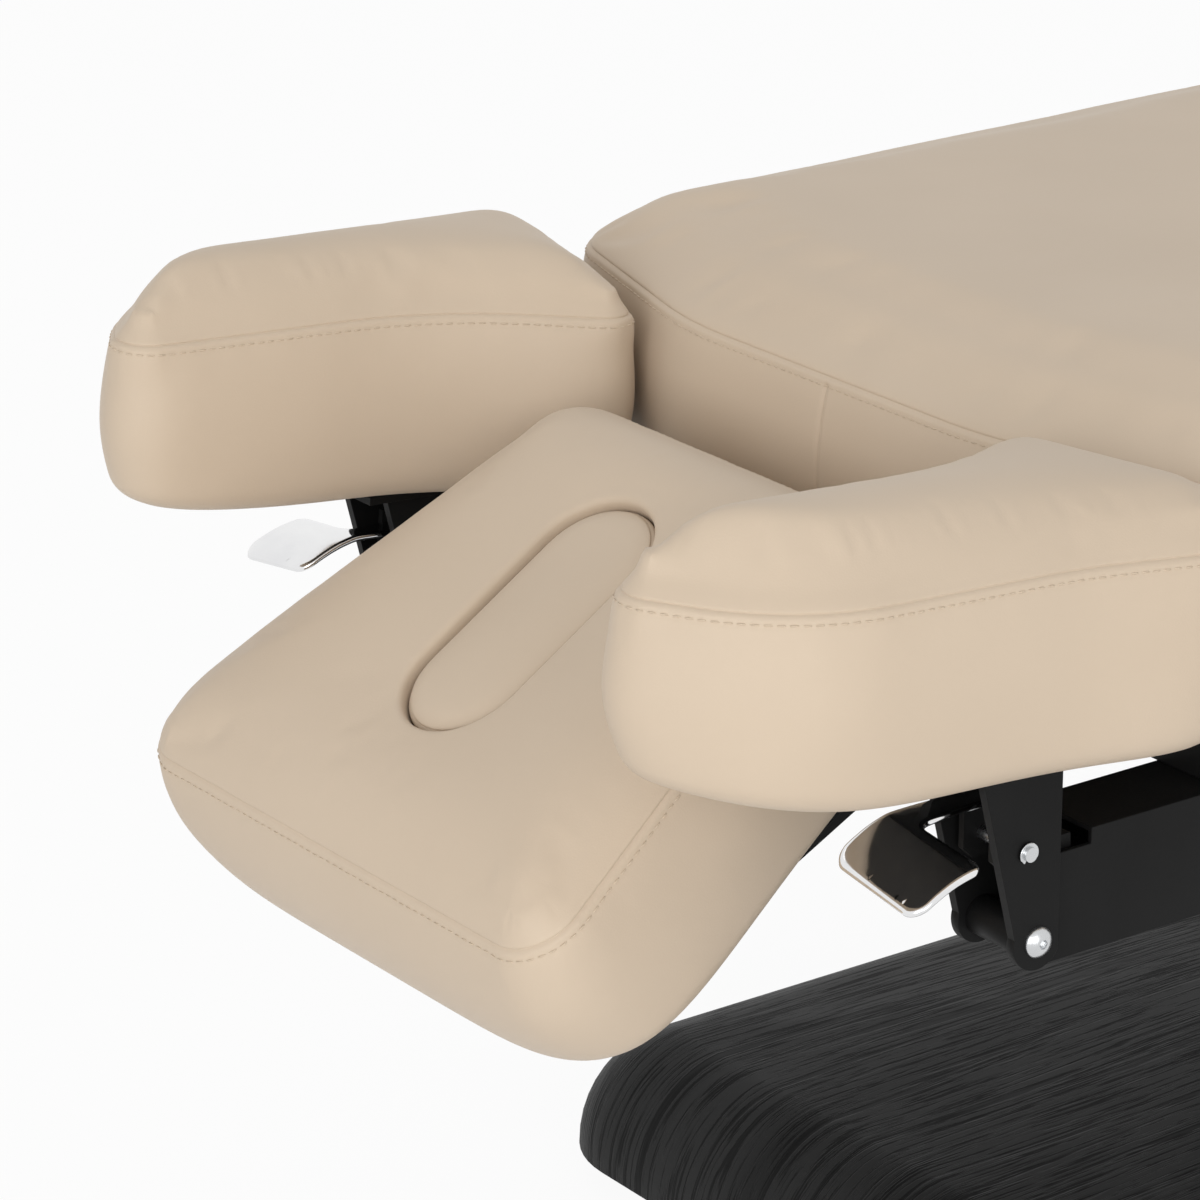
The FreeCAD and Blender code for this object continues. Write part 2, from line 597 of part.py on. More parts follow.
# Linear drives: a square body with gearbox and side motor, and a rod that ends in a cross roller
def drive(x, front, way, length, roller_y, motor_x, name):
    rear = front + way * length
    half = DRIVE_BODY / 2
    gear = rear - way * GEARBOX_L
    body = box(x - half, x + half, min(front, rear), max(front, rear), drive_z - half, drive_z + half)
    lo, hi = sorted((x - math.copysign(half, x), motor_x))
    gearbox = box(lo, hi, min(gear, rear), max(gear, rear), drive_z - half, drive_z + half)
    motor_end = gear - way * MOTOR_L
    motor = rod_y(min(motor_end, rear), max(motor_end, rear), motor_x, drive_z, MOTOR_R)
    bore = rod_y(min(front - way, gear), max(front - way, gear), x, drive_z, ROD_R + RUN_FIT)
    save(join([body, gearbox, motor]).cut(bore), name + "_body")
    inner_end = gear - way * 8
    eye = ROD_R + 2
    rod = join([
        rod_y(min(roller_y, inner_end), max(roller_y, inner_end), x, drive_z, ROD_R),
        box(x - eye, x + eye, roller_y - eye, roller_y + eye, drive_z - eye, drive_z + eye),
        rod_x(x - half - WALL, x + half + WALL, roller_y, drive_z, ROLLER_R),
    ])
    save(rod, name + "_rod")


drive(-DRIVE_X, back_drive_y0, 1, BACK_DRIVE_L, back_roller_y, -MOTOR_X, "back_drive")
drive(DRIVE_X, leg_drive_y1, -1, LEG_DRIVE_L, leg_roller_y, MOTOR_X, "leg_drive")


# Armrest: pad and board tipped up at the front, on a bracket of two plates
def armrest_tilt(shape):
    shape.rotate(V(0, 0, ARM_SEAM), X_AXIS, -ARM_TILT)
    shape.translate(V(0, PIVOT_Y, PIVOT_Z))
    return shape


slant = SHOULDER_DROP / (SHOULDER_HALF_W - BACK_FLAT_HALF)
rear_line = BACK_END_Y - PIVOT_Y - ARM_BACK_GAP * math.hypot(1, slant)
arm_corners = [
    (244.0, -230.0, 12.0),
    (328.0, -182.0, 105.0),
    (328.0, -4.0, 260.0),
    (REAR_OUTER_X, rear_line + (REAR_OUTER_X - BACK_FLAT_HALF) * slant, 45.0),
    (REAR_INNER_X, rear_line + (REAR_INNER_X - BACK_FLAT_HALF) * slant, 16.0),
    (231.0, -14.0, 220.0),
]
arm_bottom = ARM_SEAM - ARM_DEPTH
arm_pad = cushion(arm_corners, ARM_SEAM, ARM_DEPTH - SOFT_GAP, ARM_BULGE, TUCK, ARM_CROWN, ARM_REACH)
arm_pad = armrest_tilt(arm_pad.cut(recess_for(arm_corners, arm_bottom)))
arm_board = armrest_tilt(flat(arm_corners, arm_bottom, arm_bottom + BOARD_T, BOARD_INSET, CHORD))
top_plate = armrest_tilt(box(INNER_X - PLATE_T - 8, BRACKET_X + 8, -BRACKET_FRONT - 10, BRACKET_REAR,
                             arm_bottom - ARM_PLATE_T, arm_bottom))
above = armrest_tilt(box(0, 500, -300, 300, arm_bottom - ARM_PLATE_T, arm_bottom + 100))
rear_edge = box(0, 500, PIVOT_Y + BRACKET_REAR, PIVOT_Y + 300, PIVOT_Z - 100, PIVOT_Z + 300)
top_plate = top_plate.cut(rear_edge)
cheek = join([
    polygon_plate([(PIVOT_Y + BRACKET_REAR, PIVOT_Z), (PIVOT_Y + BRACKET_REAR, PIVOT_Z + BRACKET_H),
                   (PIVOT_Y - BRACKET_FRONT - 4, PIVOT_Z + BRACKET_H),
                   (PIVOT_Y - BRACKET_R * 0.96, PIVOT_Z + 4), (PIVOT_Y, PIVOT_Z - 4)], 0, PLATE_T),
    rod_x(0, PLATE_T, PIVOT_Y, PIVOT_Z, BRACKET_R),
]).cut(rear_edge).cut(rod_x(-1, PLATE_T + 1, PIVOT_Y, PIVOT_Z, BOLT_R + RUN_FIT))
cheek = cheek.cut(rod_x(-1, PLATE_T + 1, PIVOT_Y + PIN_Y, PIVOT_Z + PIN_Z, PIN_R))
cheeks = [cheek.translated(V(x, 0, 0)).cut(above) for x in (INNER_X - PLATE_T, BRACKET_X - PLATE_T)]
bracket = Part.makeCompound([top_plate.Solids[0]] + [plate.Solids[0] for plate in cheeks])

# Pivot bolt with its head and nut, and the paddle's pin
nut_x1 = INNER_X - PLATE_T
pivot_bolt = join([
    rod_x(nut_x1 - NUT_T, BRACKET_X, PIVOT_Y, PIVOT_Z, BOLT_R),
    rod_x(BRACKET_X, BRACKET_X + BOLT_HEAD_T, PIVOT_Y, PIVOT_Z, BOLT_HEAD_R),
    hexagon(BOLT_HEAD_R, V(nut_x1 - NUT_T, PIVOT_Y, PIVOT_Z), X_AXIS, NUT_T),
])
pin_y, pin_z = PIVOT_Y + PIN_Y, PIVOT_Z + PIN_Z
lever_pin = rod_x(nut_x1 - PIN_PROUD, BRACKET_X + PIN_PROUD, pin_y, pin_z, PIN_R)

# Release paddle: a strap over the pin, two cheeks, a bent neck, a wide blade and a latch tail
strap_x0, strap_x1 = MID_X - STRAP_W / 2, MID_X + STRAP_W / 2
strap_y, strap_z = PIVOT_Y + 6, PIVOT_Z + STRAP_Z
bend_y, low_z = strap_y - NECK_RUN, strap_z - NECK_DROP
neck = ribbon([(strap_y, strap_z), (bend_y, strap_z), (bend_y - 20, low_z), (bend_y - 36, low_z - 5)],
              STRAP_T, NECK_BEND, strap_x0, strap_x1)
blade = flat(rectangle(-BLADE_W / 2, BLADE_W / 2, -BLADE_L, 0, BLADE_CORNER_R), 0, STRAP_T, 0.0, COARSE)
blade.rotate(V(0, 0, 0), X_AXIS, BLADE_PITCH)
blade.translate(V(MID_X, bend_y + 2, low_z + 6))
cheek_y0, cheek_y1 = pin_y - LEVER_HALF, pin_y + LEVER_HALF
lever_cheek = polygon_plate([(cheek_y0 + LEVER_HALF / 2, pin_z - LEVER_HALF),
                             (cheek_y1 - LEVER_HALF / 2, pin_z - LEVER_HALF),
                             (cheek_y1, pin_z - LEVER_HALF / 2), (cheek_y1, strap_z), (cheek_y0, strap_z),
                             (cheek_y0, pin_z - LEVER_HALF / 2)], 0, STRAP_T)
tail_y, tail_z = PIVOT_Y + TAIL_REACH, PIVOT_Z + TAIL_RISE
tail = polygon_plate([(pin_y + 6, pin_z - 12), (tail_y, tail_z), (tail_y, tail_z + TAIL_H),
                      (tail_y - 5, tail_z + TAIL_H), (tail_y - 6, tail_z + 3 * TAIL_H),
                      (tail_y - 13, tail_z + 3 * TAIL_H), (tail_y - 14, tail_z + 9), (pin_y + 6, pin_z - 6)],
                     strap_x0 + STRAP_T, strap_x1 - STRAP_T)
lever_cheeks = [lever_cheek.translated(V(x, 0, 0)) for x in (strap_x0, strap_x1 - STRAP_T)]
pin_bore = rod_x(strap_x0 - 1, strap_x1 + 1, pin_y, pin_z, PIN_R + RUN_FIT)
paddle = join([neck, blade, tail] + lever_cheeks).cut(pin_bore)
for shape, name in ((arm_pad, "armrest_pad_"), (arm_board, "armrest_board_"), (bracket, "armrest_bracket_"),
                    (pivot_bolt, "armrest_pivot_bolt_"), (lever_pin, "paddle_pin_")):
    save(shape, name + "right")
    save(mirrored(shape), name + "left")
save(paddle, "paddle_right")
save(mirrored(paddle).rotated(V(0, pin_y, pin_z), X_AXIS, -LEFT_PADDLE_LIFT), "paddle_left")


# Floor base: a wood cover with large rounded edges over a steel floor frame on levelling feet
def cover_edge(x, y):
    centre_z = BASE_Z1 + BASE_CREASE - BASE_EDGE_R
    start = V(x + BASE_EDGE_R, y, BASE_Z0)
    shoulder = V(x + BASE_EDGE_R, y, centre_z)
    half = BASE_EDGE_R * math.sqrt(0.5)
    middle = V(x + half, y, centre_z + half)
    crest = V(x + math.sqrt(BASE_EDGE_R ** 2 - (BASE_Z1 - centre_z) ** 2), y, BASE_Z1)
    ring = [crest, V(x, y, BASE_Z1), V(x, y, BASE_Z1 - BASE_WALL), V(x + BASE_WALL, y, BASE_Z1 - BASE_WALL),
            V(x + half - BASE_WALL, y, middle.z - BASE_WALL),
            V(x + BASE_EDGE_R - BASE_WALL, y, centre_z), V(x + BASE_EDGE_R - BASE_WALL, y, BASE_Z0), start]
    edges = [Part.LineSegment(start, shoulder).toShape(), Part.Arc(shoulder, middle, crest).toShape()]
    edges += [Part.LineSegment(a, b).toShape() for a, b in zip(ring, ring[1:])]
    return Part.Face(Part.Wire(edges))


inlet_z1 = BASE_TUBE_Z0 + INLET_H + 4
flat_x = BASE_HALF_W - BASE_EDGE_R
flat_y = BASE_HALF_L - BASE_EDGE_R
corner = cover_edge(flat_x, flat_y).revolve(V(flat_x, flat_y, 0), Z_AXIS, 90)
long_side = cover_edge(flat_x, -flat_y).extrude(V(0, 2 * flat_y, 0))
end_edge = cover_edge(flat_x, flat_y).rotated(V(flat_x, flat_y, 0), Z_AXIS, 90)
short_side = end_edge.extrude(V(-2 * flat_x, 0, 0))
quarter = [corner, corner.mirror(V(0, 0, 0), Y_AXIS), long_side]
cover = join([box(-flat_x, flat_x, -flat_y, flat_y, BASE_Z1 - BASE_WALL, BASE_Z1)]
             + quarter + [mirrored(piece) for piece in quarter]
             + [short_side, short_side.mirror(V(0, 0, 0), Y_AXIS)])
hole_w, hole_d = COLUMN_W / 2 + PAD_GAP, COLUMN_D / 2 + PAD_GAP
for y in (-COLUMN_Y, COLUMN_Y):
    hole = box(-hole_w, hole_w, y - hole_d, y + hole_d, BASE_Z1 - 2 * BASE_WALL, BASE_Z1 + 1)
    cover = cover.cut(hole)
inlet_w = INLET_W / 2 + 4
cover = cover.cut(box(-inlet_w, inlet_w, BASE_TUBE_HALF_L + 20, BASE_HALF_L + 1, BASE_Z0 - 1, inlet_z1 + 4))
save(cover, "base_cover")

tube_z1 = BASE_TUBE_Z0 + BASE_TUBE
tie_half = BASE_TUBE_X - BASE_TUBE / 2
long_tube = tube_y(tie_half, tie_half + BASE_TUBE, -BASE_TUBE_HALF_L, BASE_TUBE_HALF_L,
                   BASE_TUBE_Z0, tube_z1)
ties = [tube_x(-tie_half, tie_half, y - BASE_TUBE / 2, y + BASE_TUBE / 2, BASE_TUBE_Z0, tube_z1)
        for y in (-BASE_TUBE_HALF_L + BASE_TUBE / 2, BASE_TUBE_HALF_L - BASE_TUBE / 2)]
tray_z1 = BASE_TUBE_Z0 + BASE_TUBE / 2
trays = [box(-tie_half, tie_half, y - BASE_TUBE / 2, y + BASE_TUBE / 2, BASE_TUBE_Z0, tray_z1)
         for y in (-TRAY_Y, TRAY_Y)]
shoes = [box(-BASE_TUBE_X, BASE_TUBE_X, y - FLANGE_HALF, y + FLANGE_HALF, tube_z1, tube_z1 + FLANGE_T)
         for y in (-COLUMN_Y, COLUMN_Y)]
post_half = POST_W / 2
post_y = BASE_TUBE_HALF_L - BASE_TUBE
places = [(x, y) for x in (-BASE_TUBE_X, BASE_TUBE_X) for y in (-post_y, post_y)]
posts = [box(x - post_half, x + post_half, y - post_half, y + post_half, tube_z1, BASE_Z1 - BASE_WALL)
         for x, y in places]
save_set([long_tube, mirrored(long_tube)] + ties, "base_tubes")
save_set(trays + shoes, "base_plates")
save_set(posts, "base_posts")
feet = []
for x, y in places:
    disc = Part.makeCylinder(FOOT_R, FOOT_T, V(x, y, 0))
    stem = hexagon(FOOT_STEM_R, V(x, y, FOOT_T), Z_AXIS, BASE_TUBE_Z0 - FOOT_T)
    feet.append(join([disc, stem]))
save_set(feet, "levelling_feet")
control = box(-CONTROL_L / 2, CONTROL_L / 2, -CONTROL_W / 2, CONTROL_W / 2, tray_z1, tray_z1 + CONTROL_H)
upright_edges = [edge for edge in control.Edges if abs(edge.tangentAt(0).z) > 0.9]
save(control.makeChamfer(PLATE_T, upright_edges), "control_box")
inlet_y1 = BASE_TUBE_HALF_L + 30
inlet_z0 = BASE_TUBE_Z0 + 4
inlet = box(-INLET_W / 2, INLET_W / 2, BASE_TUBE_HALF_L, inlet_y1, inlet_z0, inlet_z1)
recess_shape = [(-14, inlet_z0 + 5), (14, inlet_z0 + 5), (14, inlet_z1 - 9), (9, inlet_z1 - 5),
                (-9, inlet_z1 - 5), (-14, inlet_z1 - 9)]
recess_ring = [V(x, inlet_y1 + 1, z) for x, z in recess_shape]
recess = Part.Face(Part.makePolygon(recess_ring + recess_ring[:1])).extrude(V(0, -20, 0))
save(inlet.cut(recess), "mains_inlet")


# Lift columns: three nested rectangular profiles, each stage standing a step above the last
def profile(stage, y, z0, z1):
    shrink = stage * (COLUMN_WALL + COLUMN_PLAY)
    w, d = COLUMN_W / 2 - shrink, COLUMN_D / 2 - shrink
    bore = box(-w + COLUMN_WALL, w - COLUMN_WALL, y - d + COLUMN_WALL, y + d - COLUMN_WALL, z0 - 1, z1 + 1)
    return box(-w, w, y - d, y + d, z0, z1).cut(bore)


shoe_z = tube_z1 + FLANGE_T
top_z = RAIL_Z0 - FLANGE_T
stages = ((shoe_z, shoe_z + COLUMN_L, "column_outers"),
          (shoe_z + STAGE_STEP / 2, shoe_z + COLUMN_L + STAGE_STEP / 2, "column_middles"),
          (shoe_z + STAGE_STEP, top_z, "column_inners"))
for stage, (z0, z1, name) in enumerate(stages):
    save_set([profile(stage, y, z0, z1) for y in (-COLUMN_Y, COLUMN_Y)], name)
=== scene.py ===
import json
import math
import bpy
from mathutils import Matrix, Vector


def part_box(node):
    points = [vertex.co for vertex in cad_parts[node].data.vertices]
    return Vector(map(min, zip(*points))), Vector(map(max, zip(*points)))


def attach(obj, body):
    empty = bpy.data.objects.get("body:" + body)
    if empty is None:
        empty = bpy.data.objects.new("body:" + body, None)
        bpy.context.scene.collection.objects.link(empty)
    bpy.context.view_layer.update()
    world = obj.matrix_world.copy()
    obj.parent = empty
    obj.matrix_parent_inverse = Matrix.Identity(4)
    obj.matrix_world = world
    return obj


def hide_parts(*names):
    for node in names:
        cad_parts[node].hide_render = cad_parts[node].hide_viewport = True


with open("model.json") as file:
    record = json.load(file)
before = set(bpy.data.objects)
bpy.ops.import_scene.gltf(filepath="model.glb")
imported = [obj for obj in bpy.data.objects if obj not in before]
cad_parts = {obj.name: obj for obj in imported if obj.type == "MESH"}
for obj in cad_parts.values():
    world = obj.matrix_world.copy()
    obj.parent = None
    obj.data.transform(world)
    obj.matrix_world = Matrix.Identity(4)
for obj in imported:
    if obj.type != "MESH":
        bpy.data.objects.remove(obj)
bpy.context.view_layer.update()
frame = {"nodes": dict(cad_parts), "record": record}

from types import SimpleNamespace

import bmesh
import bpy
import numpy as np
from mathutils import Matrix, Vector
from mathutils.geometry import delaunay_2d_cdt

MM = 0.001
NODES = frame["nodes"]
SLOT_OF = {part["node"]: part["material_slot"] for part in frame["record"]["subparts"]}
BODY_OF = {node: body for body, names in frame["record"]["behaviour"]["bodies"].items() for node in names}
SIDES = ((-1, "left"), (1, "right"))

# Places and sizes of the CAD pieces in millimetres, as in the part's source
SEAM_Z = 603.0
PIVOT = (-850.0, 390.0)
PIN = (-858.8, 442.0)
ARM_SEAM = 214.5
ARM_TILT = math.radians(3.0)
HEAD_SHAFT = (-762.0, 486.0)
HEAD_SEAM = 107.0
HEAD_REST = math.radians(33.0)
PLUG_RISE = 15.0
BRACKET_X = 298.0
SCREW_REACH = 57.0
PIN_R = 4.05
RAIL_W = 51.0
TUBE_W = 40.0
BASE_EDGE_R = 76.0
FLANGE_BOLT_X = 176.0
FLANGE_BOLTS_Y = (-360.0, -200.0, 200.0, 360.0)
WELD_X = 150.0
WELDS_Y = (-340.0, 600.0)
WELD_Z = 390.0

# Form of the pads in millimetres
PAD_DEPTH = 111.0
RECESS = 12.4
RECESS_INSET = 25.6
BOARD_T = 12.0
FOOT_INSET = 8.0
SOFTEN_BELOW = 24.0
CROWN_POWER = 1.9
DOME_REACH = 130.0
NOSE = 150.0
SLOT_RIM = 4.5
SLOT_DIP = 1.5
SLOT_DIP_SPREAD = 10.0
SLOT_STEPS = (8.0, 24.0, 48.0, 76.0)
SWELL_POWER = 0.75
UNDER_SHARE = 0.85
LIP_DEEP = 2.0
LONG_SEAM = 1500.0
FINE_PANEL = 7.0
COARSE_PANEL = 11.0

# Flap under the seam and roll over it: how far out of the outline, and how far from the seam
FLAP = [(-1.7, 0.0), (-0.5, 0.5), (0.35, 1.6), (0.55, 3.0), (0.1, 4.8), (0.5, 6.6)]
ROLL = [(-0.6, 0.5), (-1.6, 1.9), (-3.2, 3.9), (-5.6, 6.6), (-8.4, 9.3), (-12.0, 14.0), (-16.5, 20.0)]
BAND_OUT = 0.5
BAND_DEPTHS = (10, 16, 24, 34, 45, 56, 67, 77, 85, 91, 96, 100, 104, 107, 109.5, 110.8)
STITCH_RING = 4
FIRM_FLAP_RINGS = 6
FIRM_FOOT_RINGS = 8
FIRM_ROLL_RINGS = 3

# Puckers along a seam: their lengths and sizes, and where they are strongest below and above it
PUCKERS = ((17.0, 0.5), (29.0, 0.8), (47.0, 0.6), (11.0, 0.3))
PUCKER_BELOW, PUCKER_BELOW_SPREAD = 9.0, 12.0
PUCKER_ABOVE, PUCKER_ABOVE_SPREAD = 7.0, 5.0
TIGHT_TURN = 14.0

# Upright seam: depth of its groove, where that starts below the flap, and stations on both sides of it
JOIN_GROOVE = 1.5
JOIN_START = 3.0
JOIN_STATIONS = (-4, -2.2, -1.1, 0, 1.1, 2.2, 4)
JOIN_CLEAR = 4.5

# Stations along an outline: turn from one to the next, and limits to how far they are drawn in
STATION_TURN = 0.11
FOLD_SHARE = 0.62
ROOM_SLOPE = 0.4
ROOM_MOST = 400.0
CORNER_STEPS = 24

# Stitch: place along its half length, lift and radius
STITCH = ((-1.0, -0.15, 0.22), (-0.72, 0.32, 0.42), (0.0, 0.5, 0.46), (0.72, 0.32, 0.42), (1.0, -0.15, 0.22))
STITCH_PITCH = 6.4
STITCH_SIDES = 6

# Cover: frames of cloth, and how far a point may move, in metres
CLOTH_FRAMES = 20
COVER_LIMIT = 0.004

# Release paddle in millimetres: strap, blade, and the blade's fall along its length
MID_X = 272.5
STRAP_HALF = 14.0
STRAP_END = 4.0
STRIP_T = 4.0
NECK_W = 18.5
BLADE_LONG = 41.0
BLADE_WIDE = 72.0
BLADE_BEND = [(-9, -22.1), (0, -16.6), (10, -10.3), (21, -4.9), (30, -1.8), (37, -0.3), (48, 0.0), (60, 0.0),
              (120, 0.0)]
CHEEK = [(-6.5, -13), (6.5, -13), (13, -6.5), (13, 26), (-13, 26), (-13, -6.5)]
TAIL = [(6, -12), (48.8, -25), (48.8, -18), (43.8, -18), (42.8, -4), (35.8, -4), (34.8, -16), (6, -6)]
TAIL_HALF = 10

# Colours
VINYL = (0.590, 0.480, 0.366)
VINYL_LOW = (0.566, 0.459, 0.348)
THREAD = (0.66, 0.54, 0.41)
# Darker thread colour for the low grooves of its twist: painted shade
THREAD_GROOVE_SHADE = (0.50, 0.40, 0.29)
WHITE = (1, 1, 1, 1)


# Materials
def new_material(name, colour, rough, metal=0.0):
    mat = bpy.data.materials.new(name)
    mat.use_nodes = True
    shader = mat.node_tree.nodes["Principled BSDF"]
    shader.inputs["Base Color"].default_value = (*colour, 1.0)
    shader.inputs["Roughness"].default_value = rough
    shader.inputs["Metallic"].default_value = metal
    return mat, mat.node_tree, shader


def add(tree, kind, **values):
    node = tree.nodes.new(kind)
    for key, value in values.items():
        if key in node.inputs:
            node.inputs[key].default_value = value
        else:
            setattr(node, key, value)
    return node


def coordinates(tree, scale=(1.0, 1.0, 1.0), source="Object"):
    coord = add(tree, "ShaderNodeTexCoord")
    mapping = add(tree, "ShaderNodeMapping", Scale=scale)
    tree.links.new(coord.outputs[source], mapping.inputs["Vector"])
    return mapping.outputs["Vector"]


def noise(tree, vector, scale, detail=3.0, rough=0.5, distortion=0.0):
    node = add(tree, "ShaderNodeTexNoise", Scale=scale, Detail=detail, Roughness=rough, Distortion=distortion)
    tree.links.new(vector, node.inputs["Vector"])
    return node.outputs["Fac"]


def ramp(tree, value, stops):
    node = add(tree, "ShaderNodeValToRGB")
    band = node.color_ramp
    while len(band.elements) < len(stops):
        band.elements.new(0.5)
    for element, (place, colour) in zip(band.elements, stops):
        element.position = place
        element.color = (*colour, 1.0) if isinstance(colour, tuple) else (colour, colour, colour, 1.0)
    tree.links.new(value, node.inputs["Fac"])
    return node.outputs["Color"]


def span(tree, value, low, high):
    node = add(tree, "ShaderNodeMapRange")
    node.inputs["To Min"].default_value = low
    node.inputs["To Max"].default_value = high
    tree.links.new(value, node.inputs["Value"])
    return node.outputs["Result"]


def product(tree, first, second):
    node = add(tree, "ShaderNodeMath", operation="MULTIPLY")
    tree.links.new(first, node.inputs[0])
    tree.links.new(second, node.inputs[1])
    return node.outputs["Value"]


def bump(tree, shader, height, distance, strength=1.0, below=None):
    node = add(tree, "ShaderNodeBump", Distance=distance, Strength=strength)
    tree.links.new(height, node.inputs["Height"])
    if below is not None:
        tree.links.new(below, node.inputs["Normal"])
    tree.links.new(node.outputs["Normal"], shader.inputs["Normal"])
    return node.outputs["Normal"]


def vinyl_material():
    mat, tree, shader = new_material("sand_vinyl", VINYL, 0.5)
    place = coordinates(tree)
    tone = noise(tree, place, 7.0, 2.0)
    tree.links.new(ramp(tree, tone, [(0.3, VINYL_LOW), (0.7, VINYL)]), shader.inputs["Base Color"])
    pebble = add(tree, "ShaderNodeTexVoronoi", Scale=780.0, feature="SMOOTH_F1", Smoothness=0.6)
    tree.links.new(place, pebble.inputs["Vector"])
    crease = noise(tree, place, 1500.0, 2.0, 0.6)
    foam = noise(tree, place, 22.0, 2.0, 0.45)
    tree.links.new(span(tree, crease, 0.42, 0.56), shader.inputs["Roughness"])
    soft = bump(tree, shader, foam, 0.0018, 0.35)
    grain = bump(tree, shader, pebble.outputs["Distance"], 0.00006, 0.5, soft)
    bump(tree, shader, crease, 0.00004, 0.5, grain)
    shader.inputs["Specular IOR Level"].default_value = 0.2
    shader.inputs["Sheen Weight"].default_value = 0.06
    return mat


def thread_material():
    mat, tree, shader = new_material("sand_thread", THREAD, 0.62)
    twist = add(tree, "ShaderNodeTexWave", Scale=900.0, Distortion=1.5)
    tree.links.new(coordinates(tree), twist.inputs["Vector"])
    # The twist pattern also darkens the thread's colour where its bump is low: painted shade in the grooves
    colour = ramp(tree, twist.outputs["Fac"], [(0.0, THREAD_GROOVE_SHADE), (1.0, THREAD)])
    tree.links.new(colour, shader.inputs["Base Color"])
    bump(tree, shader, twist.outputs["Fac"], 0.0001, 0.6)
    return mat


def powder_material():
    mat, tree, shader = new_material("black_powder", (0.008, 0.008, 0.0082), 0.42)
    place = coordinates(tree)
    peel = noise(tree, place, 620.0, 3.0, 0.55)
    blotch = noise(tree, place, 9.0, 3.0)
    tree.links.new(ramp(tree, blotch, [(0.3, 0.006), (0.75, 0.0105)]), shader.inputs["Base Color"])
    tree.links.new(span(tree, peel, 0.42, 0.56), shader.inputs["Roughness"])
    bump(tree, shader, peel, 0.00007, 0.6)
    shader.inputs["Specular IOR Level"].default_value = 0.1
    return mat


def metal_material(name, colour, low, rough, stretch, scale, depth):
    mat, tree, shader = new_material(name, colour, rough[1], 1.0)
    lines = noise(tree, coordinates(tree, stretch), scale, 4.0, 0.6)
    smudge = noise(tree, coordinates(tree), 30.0, 3.0)
    tree.links.new(ramp(tree, smudge, [(0.3, low), (0.7, colour)]), shader.inputs["Base Color"])
    tree.links.new(span(tree, lines, rough[0], rough[1]), shader.inputs["Roughness"])
    bump(tree, shader, lines, depth, 0.5)
    return mat


def board_material():
    mat, tree, shader = new_material("stained_ply", (0.02, 0.018, 0.016), 0.6)
    grain = noise(tree, coordinates(tree, (1.0, 0.06, 8.0)), 130.0, 5.0, 0.6, 0.4)
    stops = [(0.3, (0.010, 0.009, 0.008)), (0.62, (0.021, 0.019, 0.017)), (0.8, (0.034, 0.03, 0.026))]
    tree.links.new(ramp(tree, grain, stops), shader.inputs["Base Color"])
    tree.links.new(span(tree, grain, 0.5, 0.7), shader.inputs["Roughness"])
    bump(tree, shader, grain, 0.0002, 0.5)
    return mat


# Oak: dark rings, pores and broad bands along a grain that wanders a little
def oak_material():
    mat, tree, shader = new_material("black_oak", (0.012, 0.012, 0.012), 0.42)
    flow = coordinates(tree, (1.0, 0.032, 1.0), "UV")
    warp = noise(tree, coordinates(tree, (1.0, 0.35, 1.0), "UV"), 3.6, 2.0, 0.5)
    bend = add(tree, "ShaderNodeVectorMath", operation="SCALE")
    bend.inputs["Scale"].default_value = 0.06
    push = add(tree, "ShaderNodeCombineXYZ")
    tree.links.new(warp, push.inputs["X"])
    tree.links.new(push.outputs["Vector"], bend.inputs[0])
    shift = add(tree, "ShaderNodeVectorMath", operation="ADD")
    tree.links.new(flow, shift.inputs[0])
    tree.links.new(bend.outputs["Vector"], shift.inputs[1])
    grain = shift.outputs["Vector"]
    rings = ramp(tree, noise(tree, grain, 105.0, 4.0, 0.6, 0.6), [(0.40, 0.05), (0.47, 1.0)])
    pores = ramp(tree, noise(tree, grain, 380.0, 3.0, 0.65, 0.3), [(0.40, 0.2), (0.49, 1.0)])
    broad = ramp(tree, noise(tree, grain, 22.0, 2.0, 0.5, 0.4), [(0.34, 0.45), (0.52, 1.0)])
    lines = product(tree, rings, pores)
    tone = product(tree, broad, lines)
    tree.links.new(ramp(tree, tone, [(0.0, 0.002), (0.9, 0.0185)]), shader.inputs["Base Color"])
    tree.links.new(span(tree, pores, 0.66, 0.46), shader.inputs["Roughness"])
    bump(tree, shader, lines, 0.0005, 0.7)
    shader.inputs["Specular IOR Level"].default_value = 0.12
    return mat


def plastic_material(name, colour, rough):
    mat, tree, shader = new_material(name, colour, rough)
    place = coordinates(tree)
    spark = add(tree, "ShaderNodeTexVoronoi", Scale=900.0)
    tree.links.new(place, spark.inputs["Vector"])
    wear = noise(tree, place, 14.0, 4.0)
    low = tuple(0.75 * c for c in colour)
    tree.links.new(ramp(tree, wear, [(0.3, low), (0.7, colour)]), shader.inputs["Base Color"])
    tree.links.new(span(tree, wear, rough - 0.06, rough + 0.06), shader.inputs["Roughness"])
    bump(tree, shader, spark.outputs["Distance"], 0.0001, 0.5)
    shader.inputs["Specular IOR Level"].default_value = 0.25
    return mat


vinyl = vinyl_material()
thread = thread_material()
powder = powder_material()
zinc = metal_material("zinc_steel", (0.66, 0.67, 0.68), (0.56, 0.57, 0.58), (0.22, 0.34),
                      (1, 1, 1), 400.0, 0.00004)
chrome = metal_material("polished_chrome", (0.83, 0.83, 0.83), (0.76, 0.76, 0.77), (0.05, 0.12),
                        (1, 0.1, 1), 600.0, 0.00001)
anodised = metal_material("satin_aluminium", (0.50, 0.51, 0.52), (0.46, 0.47, 0.48), (0.32, 0.46),
                          (1, 1, 0.02), 900.0, 0.00005)
board = board_material()
oak = oak_material()
plastic = plastic_material("moulded_plastic", (0.018, 0.018, 0.019), 0.5)
rubber = plastic_material("foot_rubber", (0.014, 0.014, 0.014), 0.75)
FINISH = {"black_steel": powder, "zinc_steel": zinc, "chrome": chrome, "column_aluminium": anodised,
          "board": board, "black_oak": oak, "dark_plastic": plastic, "foot_rubber": rubber, "vinyl": vinyl}
